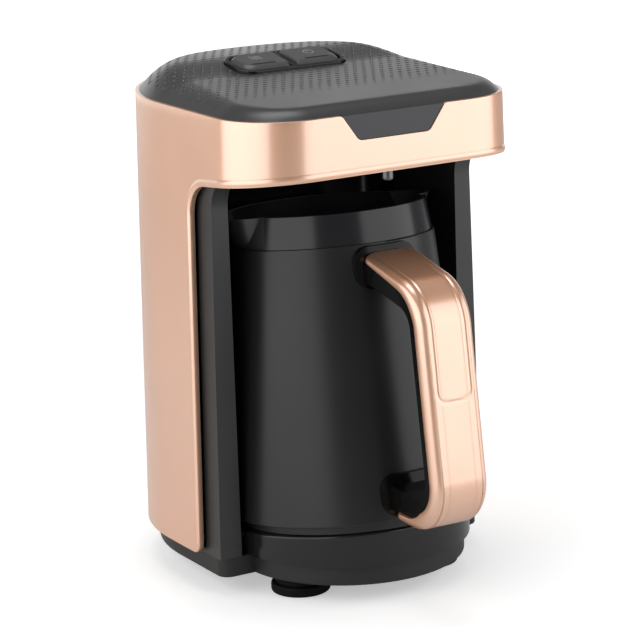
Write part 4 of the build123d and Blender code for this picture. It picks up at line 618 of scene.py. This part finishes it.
def round_rectangle(half_x, half_y, radius, steps=9):
    """Closed outline of a rectangle with round corners, about the origin, anticlockwise."""
    turn = np.linspace(0, np.pi / 2, steps)
    corners = []
    for quarter, (x, y) in enumerate(((1, 1), (-1, 1), (-1, -1), (1, -1))):
        angle = turn + quarter * np.pi / 2
        corners.append(np.stack([
            x * (half_x - radius) + radius * np.cos(angle),
            y * (half_y - radius) + radius * np.sin(angle),
        ], -1))
    return np.concatenate(corners)


def outside_hole(plan, triangles, hole):
    """Triangles of a plan whose middles lie outside a hole's convex outline.

    A middle lies inside when it is on the left of every edge of the outline.
    """
    triangles = np.array([list(face) for face in triangles])
    middle = plan[triangles].mean(axis=1)
    edge = np.roll(hole, -1, axis=0) - hole
    apart = middle[:, None] - hole[None]
    left = edge[None, :, 0] * apart[..., 1] - edge[None, :, 1] * apart[..., 0]
    return triangles[~(left > 0).all(axis=1)].tolist()


# The rim is a stack of rings down to the seam.  The top is one triangulated plan, with
# the dimples on a triangular lattice, each sunk ring by ring.
edge_rings = []
for depth in EDGE_STEPS:
    ring = cover_ring(COVER_LIP + depth)
    edge_rings.append(np.column_stack([ring, cover_height(ring)]))
foot_ring = edge_rings[-1].copy()
foot_ring[:, 2] = WRAP_TOP_Z - COVER_RIM_DEPTH
edge_rings.append(foot_ring)
top_ring = edge_rings[0][:, :2]
bezel_ring = round_rectangle(
    BEZEL_HALF_WIDTH, BEZEL_HALF_DEPTH, BEZEL_CORNER, BEZEL_CORNER_POINTS
) + (0, BEZEL_Y)
row_step = DIMPLE_PITCH * np.sqrt(3) / 2
lattice_row, lattice_column = np.meshgrid(
    np.arange(-DIMPLE_ROWS, DIMPLE_ROWS + 1), np.arange(-DIMPLE_COLUMNS, DIMPLE_COLUMNS + 1), indexing="ij"
)
centre_x = (lattice_column + 0.5 * (lattice_row % 2)) * DIMPLE_PITCH
centre_y = lattice_row * row_step
centres = np.stack([centre_x.ravel(), centre_y.ravel()], -1)
to_rim = np.linalg.norm(centres[:, None] - top_ring[None], axis=-1).min(axis=1)
around = np.arctan2(centres[:, 1], centres[:, 0])
ring_angle = np.arctan2(top_ring[:, 1], top_ring[:, 0])
order = np.argsort(ring_angle)
ring_reach = np.interp(
    around, ring_angle[order], np.hypot(top_ring[order, 0], top_ring[order, 1]), period=2 * np.pi
)
inside = np.hypot(centres[:, 0], centres[:, 1]) < ring_reach
beside_bezel = np.maximum(
    np.abs(centres[:, 0]) - BEZEL_HALF_WIDTH, np.abs(centres[:, 1] - BEZEL_Y) - BEZEL_HALF_DEPTH
)
clear_of_rim = to_rim > DIMPLE_RADIUS + DIMPLE_RIM_GAP
clear_of_bezel = beside_bezel > DIMPLE_RADIUS + DIMPLE_BEZEL_GAP
centres = centres[inside & clear_of_rim & clear_of_bezel]
fade = np.clip((centres[:, 1] - DIMPLE_FADE_Y[0]) / (DIMPLE_FADE_Y[1] - DIMPLE_FADE_Y[0]), 0, 1)
shoulder_points = np.concatenate(
    [cover_ring(COVER_LIP + depth, SHOULDER_POINTS) for depth in SHOULDER_STEPS]
)
shoulder_points = shoulder_points[shoulder_points[:, 1] < DIMPLE_FADE_Y[0] + DIMPLE_PITCH]
to_bowl = np.linalg.norm(shoulder_points[:, None] - centres[fade > 0][None], axis=-1).min(axis=1)
flat_points = [centres[fade == 0], shoulder_points[to_bowl > DIMPLE_RADIUS + DIMPLE_SHOULDER_GAP]]
flat_drops = [np.zeros(len(points)) for points in flat_points]
bowls = centres[fade > 0]
depth = DIMPLE_DEPTH * fade[fade > 0]
for ring_radius, ring_share, ring_count in DIMPLE_RINGS:
    turn_angle = np.arange(ring_count) * 2 * np.pi / ring_count
    offsets = DIMPLE_RADIUS * ring_radius * np.stack([np.cos(turn_angle), np.sin(turn_angle)], -1)
    flat_points.append((bowls[:, None] + offsets[None]).reshape(-1, 2))
    flat_drops.append(np.repeat(depth * ring_share, ring_count))
inner_points = np.concatenate(flat_points)
plan = np.concatenate([top_ring, bezel_ring, inner_points])
drops = np.concatenate([np.zeros(len(top_ring) + len(bezel_ring)), *flat_drops])
rim_count, hole_count = len(top_ring), len(bezel_ring)
rim_edges = [(k, (k + 1) % rim_count) for k in range(rim_count)]
hole_edges = [(rim_count + k, rim_count + (k + 1) % hole_count) for k in range(hole_count)]
lid = delaunay_2d_cdt(
    [Vector(p) for p in plan.tolist()], rim_edges + hole_edges, [], CDT_INSIDE, CDT_NEAR
)
lid_plan = np.array([tuple(p) for p in lid[0]])
lid_faces = outside_hole(lid_plan, lid[2], bezel_ring)
origin_of = np.array([source[0] if source else -1 for source in lid[3]])
top_z = cover_height(lid_plan) - np.where(origin_of >= 0, drops[origin_of], 0)
top_shape = (np.column_stack([lid_plan, top_z]), lid_faces)
rim_shape = sheet(np.stack(edge_rings), closed=True)
hole_top = np.column_stack([bezel_ring, cover_height(bezel_ring)])
hole_foot = hole_top.copy()
hole_foot[:, 2] = BEZEL_FOOT_Z
hole_shape = sheet(np.stack([hole_top, hole_foot]), closed=True)
satin_charcoal = finish(
    "satin_charcoal", (0.040, 0.040, 0.041), 0.34, drift=0.04, grain=0.5, grain_depth=0.006, shine=0.75
)
piece(
    "cover",
    join(top_shape, rim_shape, hole_shape),
    satin_charcoal,
    "housing",
    ("top_cover",),
    sharp=50.0,
)

# ================================================================ badge and keys
# The badge is a bare plate in the notch of the band.  Behind it on the cover
# two keys lie in a black bezel, each with a slot of light and a printed sign.
KEY_FRONT = (4.9, 223.1)
KEY_LEAN = np.radians(10.0)
KEY_DEPTH = 19.0
KEY_OUTER_X = 25.0
KEY_GAP = 3.6
KEY_CORNER = 6.0
KEY_GAP_CORNER = 0.9
KEY_SKIRT = 8.0
KEY_BEVEL = (2.6, 2.2, 0.5, 1.0)
KEY_BEVEL_DROP = 1.7
# A key's rings of points: share of the bevel, drop below the key's top.
KEY_STEPS = (
    (0.0, KEY_SKIRT),
    (0.0, KEY_BEVEL_DROP + 0.3),
    (0.06, KEY_BEVEL_DROP),
    (0.92, 0.12),
    (1.0, 0.0),
)
KEY_TOP_CORNER_LOSS = 0.8
KEY_CORNER_POINTS = 10
SLOT_LENGTH = 12.4
SLOT_WIDTH = 1.6
SLOT_BACK = 3.6
SLOT_DEPTH = 2.4
SLOT_CORNER_GAP = 0.02
SLOT_CORNER_POINTS = 6
SIGN_WIDTH = 0.42
SIGN_RISE = 0.04
SIGN_BACK = 8.6
CIRCLE_RADIUS = 2.3
CIRCLE_POINTS = 24
STROKE = ((0.0, 0.2), (0.0, 3.2))
WAVE_HALF = 2.6
WAVE_HEIGHT = 0.5
WAVE_TURNS = 2.4
WAVE_ROWS = (-1.6, 0.0, 1.6)
WAVE_POINTS = 15


def key_place(points, drop):
    """Points of the leaning key plane (across, back) as points in space, sunk by a drop."""
    back = np.array([np.cos(KEY_LEAN), np.sin(KEY_LEAN)])
    up = np.array([-np.sin(KEY_LEAN), np.cos(KEY_LEAN)])
    yz = np.array(KEY_FRONT) + points[:, 1:] * back - np.asarray(drop).reshape(-1, 1) * up
    return np.column_stack([points[:, 0], yz])


def key_outline(side, share):
    """A key's outline, pulled in by a share of the bevel at front, outside, gap and back.

    The corners are quarter circles: wide ones outside, tight ones at the gap.
    """
    front, outside, gap, back = (share * width for width in KEY_BEVEL)
    low_x, high_x = KEY_GAP / 2 + gap, KEY_OUTER_X - outside
    low_y, high_y = front, KEY_DEPTH / np.cos(KEY_LEAN) - back
    turn = np.linspace(0, np.pi / 2, KEY_CORNER_POINTS)
    wide = KEY_CORNER - share * KEY_TOP_CORNER_LOSS
    corners = (
        (high_x, high_y, 1, 1, wide),
        (low_x, high_y, -1, 1, KEY_GAP_CORNER),
        (low_x, low_y, -1, -1, KEY_GAP_CORNER),
        (high_x, low_y, 1, -1, wide),
    )
    ring = []
    for quarter, (x, y, out_x, out_y, radius) in enumerate(corners):
        angle = turn + quarter * np.pi / 2
        centre = np.array([x, y]) - radius * np.array([out_x, out_y])
        ring.append(centre + radius * np.stack([np.cos(angle), np.sin(angle)], -1))
    return np.concatenate(ring) * (side, 1)


def ribbon(line, closed=False):
    """A flat strip along a line in the key plane, as wide as a printed stroke."""
    way = np.gradient(line, axis=0)
    if closed:
        way = np.roll(line, -1, axis=0) - np.roll(line, 1, axis=0)
    way /= np.linalg.norm(way, axis=1)[:, None]
    across = np.stack([-way[:, 1], way[:, 0]], -1) * SIGN_WIDTH / 2
    edges = [key_place(line + across, -SIGN_RISE), key_place(line - across, -SIGN_RISE)]
    return sheet(np.stack(edges), closed=closed)


badge_grey = finish("badge_grey", (0.028, 0.028, 0.034), 0.38, grain=0.5, grain_depth=0.006)
key_black = finish("key_black", (0.075, 0.075, 0.076), 0.36, grain=0.6, grain_depth=0.006)
bezel_black = finish("bezel_black", (0.006, 0.006, 0.0065), 0.25, grain=0.6, grain_depth=0.006)
slot_dark = finish("slot_dark", (0.012, 0.012, 0.012), 0.3, grain=0.5)
sign_grey = finish("sign_grey", (0.42, 0.42, 0.42), 0.5, grain=0.5, grain_depth=0.002)
dress(badge_grey, "badge_plate")
dress(bezel_black, "key_bezel")
dress(slot_dark, "indicator_left", "indicator_right")
for side, key_name in ((-1, "key_left"), (1, "key_right")):
    rings = np.stack([key_place(key_outline(side, share), drop) for share, drop in KEY_STEPS])
    top_outline = key_outline(side, 1.0)
    slot_x = side * (KEY_OUTER_X + KEY_GAP / 2) / 2
    slot = round_rectangle(
        SLOT_LENGTH / 2, SLOT_WIDTH / 2, SLOT_WIDTH / 2 - SLOT_CORNER_GAP, SLOT_CORNER_POINTS
    )
    slot = slot + (slot_x, SLOT_BACK + SLOT_WIDTH / 2)
    plan = np.concatenate([top_outline, slot])
    outer_count, slot_count = len(top_outline), len(slot)
    edges = [(k, (k + 1) % outer_count) for k in range(outer_count)]
    edges += [(outer_count + k, outer_count + (k + 1) % slot_count) for k in range(slot_count)]
    top = delaunay_2d_cdt([Vector(p) for p in plan.tolist()], edges, [], CDT_INSIDE, CDT_NEAR)
    top_plan = np.array([tuple(p) for p in top[0]])
    top_face = (key_place(top_plan, 0.0), outside_hole(top_plan, top[2], slot))
    slot_wall = sheet(np.stack([key_place(slot, 0.0), key_place(slot, SLOT_DEPTH)]), closed=True)
    slot_floor = (key_place(slot, SLOT_DEPTH), [list(range(slot_count))])
    cap = join(sheet(rings, closed=True), top_face, slot_wall, slot_floor)
    piece(key_name + "_cap", cap, key_black, key_name, (key_name,), sharp=30.0)
    sign_centre = np.array([slot_x, SLOT_BACK + SIGN_BACK])
    turn_angle = np.linspace(0, 2 * np.pi, CIRCLE_POINTS + 1)[:-1]
    circle = sign_centre + CIRCLE_RADIUS * np.stack([np.cos(turn_angle), np.sin(turn_angle)], -1)
    if side > 0:
        strokes = [ribbon(circle, closed=True), ribbon(sign_centre + np.array(STROKE))]
    else:
        wave_x = np.linspace(-WAVE_HALF, WAVE_HALF, WAVE_POINTS)
        wave_y = WAVE_HEIGHT * np.sin(wave_x * WAVE_TURNS)
        strokes = [ribbon(sign_centre + np.stack([wave_x, wave_y + row], -1)) for row in WAVE_ROWS]
    piece(key_name + "_sign", join(*strokes), sign_grey, key_name)

# ================================================================ pot
# The pot is a dark steel vessel in a satin black jacket, with a collar round
# its neck and a spout on each side, so that it pours from either hand.
pot_black = finish(
    "pot_black", (0.010, 0.010, 0.011), 0.33, drift=0.05, grain=0.8, grain_depth=0.005, shine=0.4
)
dark_steel = finish("dark_steel", (0.06, 0.06, 0.063), 0.32, metal=0.6, grain=0.5)
heater_steel = finish("heater_steel", (0.45, 0.45, 0.46), 0.3, metal=1.0, grain=0.3)
seal_black = finish("seal_black", (0.03, 0.03, 0.03), 0.6, grain=0.4)
collar_black = finish(
    "collar_black", (0.012, 0.012, 0.0145), 0.2, drift=0.05, grain=0.8, grain_depth=0.003, shine=0.4
)
dress(pot_black, "pot_jacket")
dress(collar_black, "collar_front", "collar_back")
dress(dark_steel, "pot_vessel")
dress(seal_black, "vessel_seal")
dress(heater_steel, "heating_element", "thermostat")
dress(matt_black, "pot_base", "pot_plug")

# ================================================================ handle
# The handle is a moulded, copper-lacquered channel over a black liner.  It is
# screwed to the jacket through two black bosses.
HANDLE_ROOT = (-68.6, 151.86)
HANDLE_KNEE = (-111.8, 142.8)
HANDLE_HEEL = (-126.6, 37.4)
HANDLE_TIP = (-88.6, 40.5)
HANDLE_KNEE_RADIUS = 22.5
HANDLE_HEEL_RADIUS = 21.0
HANDLE_HALF_WIDTH = 13.0
HANDLE_EDGE = 3.6
HANDLE_WALL = 2.0
HANDLE_FULL_DEPTH = 6.25
# Depth of the channel's sides, in mm, at shares of the handle's length.
HANDLE_DEPTHS = (
    (0.0, 2.8), (0.16, 4.6), (0.26, 6.2), (0.75, 6.4), (0.86, 7.0), (0.94, 4.0), (1.0, 3.0)
)
# The rounded lip of a side: way in from its outer face, depth.
HANDLE_LIP = ((0.0, 4.4), (0.0, 5.6), (0.18, 6.05), (0.6, 6.25), (1.4, 6.25), (HANDLE_WALL, 6.0))
# The side's inner face and the fillet into the roof: way in, depth.
HANDLE_INNER = ((HANDLE_WALL, 3.0), (HANDLE_WALL, HANDLE_WALL + 0.6), (HANDLE_WALL + 0.6, HANDLE_WALL))
HANDLE_ROUND = 4.5
TONGUE_HALF_WIDTH = 8.1
TONGUE_LOW_Z = 96.5
TONGUE_CORNER = 4.5
TONGUE_GROOVE = 0.3
TONGUE_GROOVE_WIDTH = 0.5
TONGUE_EDGE_REACH = 1.8
TONGUE_EDGE_POINTS = 13
TONGUE_MIDDLE = 6.5
TONGUE_MIDDLE_POINTS = 7
GROOVE_START = 4.0
GROOVE_FADE = 26.0
OUTER_FACE_DEPTH = 0.5
HANDLE_SAMPLES = 330
HANDLE_BEND_POINTS = 40
HANDLE_EDGE_POINTS = 9


def handle_section():
    """Closed outline of the channel: (across, depth) at full depth one.

    A rectangle open below, with round outer edges; the outer face has extra
    points beside the tongue's edges, where the groove runs.
    """
    near = TONGUE_HALF_WIDTH + np.linspace(-TONGUE_EDGE_REACH, TONGUE_EDGE_REACH, TONGUE_EDGE_POINTS)
    middle = np.linspace(-TONGUE_MIDDLE, TONGUE_MIDDLE, TONGUE_MIDDLE_POINTS)
    across = np.concatenate([-near[::-1], middle, near])
    outer = np.stack([across, np.zeros(len(across))], -1)
    turn = np.linspace(0, np.pi / 2, HANDLE_EDGE_POINTS)
    edge = HANDLE_EDGE * np.stack([1 - np.sin(turn), 1 - np.cos(turn)], -1)
    side = np.concatenate([edge, HANDLE_LIP, HANDLE_INNER])
    side[:, 0] = HANDLE_HALF_WIDTH - side[:, 0]
    mirrored = side[::-1] * (-1, 1)
    return np.concatenate([outer, side, mirrored])


# The line runs down the loop's outer face, from the root over the knee and heel to the tip.
handle_line = round_path(
    [HANDLE_ROOT, HANDLE_KNEE, HANDLE_HEEL, HANDLE_TIP],
    (HANDLE_KNEE_RADIUS, HANDLE_HEEL_RADIUS),
    HANDLE_BEND_POINTS,
)
handle_line = spread(handle_line, HANDLE_SAMPLES)
handle_way = np.gradient(handle_line, axis=0)
handle_way /= np.linalg.norm(handle_way, axis=1)[:, None]
handle_in = np.stack([-handle_way[:, 1], handle_way[:, 0]], -1)
run = np.concatenate([[0], np.cumsum(np.linalg.norm(np.diff(handle_line, axis=0), axis=1))])
run_share = run / run[-1]
depth_scale = np.interp(run_share, *np.array(HANDLE_DEPTHS).T) / HANDLE_FULL_DEPTH
end_gap = np.clip(np.minimum(run, run[-1] - run) / HANDLE_ROUND, 0, 1)
narrow = HANDLE_ROUND * (1 - np.sqrt(1 - (1 - end_gap) ** 2))
# The section is carried along the line.  The groove round the tongue is a bell curve of
# the distance from a rectangle with round corners.
section = handle_section()
across = section[None, :, 0] * (1 - narrow[:, None] / HANDLE_HALF_WIDTH)
depth = section[None, :, 1] * depth_scale[:, None]
tongue_end = run[np.argmin(np.abs(handle_line[:, 1] - TONGUE_LOW_Z))]
beside = np.abs(across) - (TONGUE_HALF_WIDTH - TONGUE_CORNER)
beyond = run[:, None] - (tongue_end - TONGUE_CORNER)
from_edge = np.hypot(np.maximum(beside, 0), np.maximum(beyond, 0)) - TONGUE_CORNER
deep_inside = (beside < 0) & (beyond < 0)
from_edge = np.where(deep_inside, np.maximum(beside, beyond) - TONGUE_CORNER, from_edge)
fading = np.clip((run[:, None] - GROOVE_START) / GROOVE_FADE, 0, 1)
groove = TONGUE_GROOVE * fading * np.exp(-((from_edge / TONGUE_GROOVE_WIDTH) ** 2))
depth = depth + np.where(section[None, :, 1] < OUTER_FACE_DEPTH, groove, 0)
handle_yz = handle_line[:, None] + handle_in[:, None] * depth[..., None]
handle_grid = np.concatenate([across[..., None], handle_yz], -1)
piece(
    "handle_cover",
    solid(handle_grid),
    copper,
    "pot",
    ("handle_shell", "handle_inset"),
    sharp=50.0,
)
pad_black = finish("pad_black", (0.003, 0.003, 0.003), 0.16, grain=0.8, grain_depth=0.003, shine=0.22)
dress(pad_black, "handle_liner", "handle_pad_upper", "handle_pad_lower")
dress(plated_steel, "handle_screws")
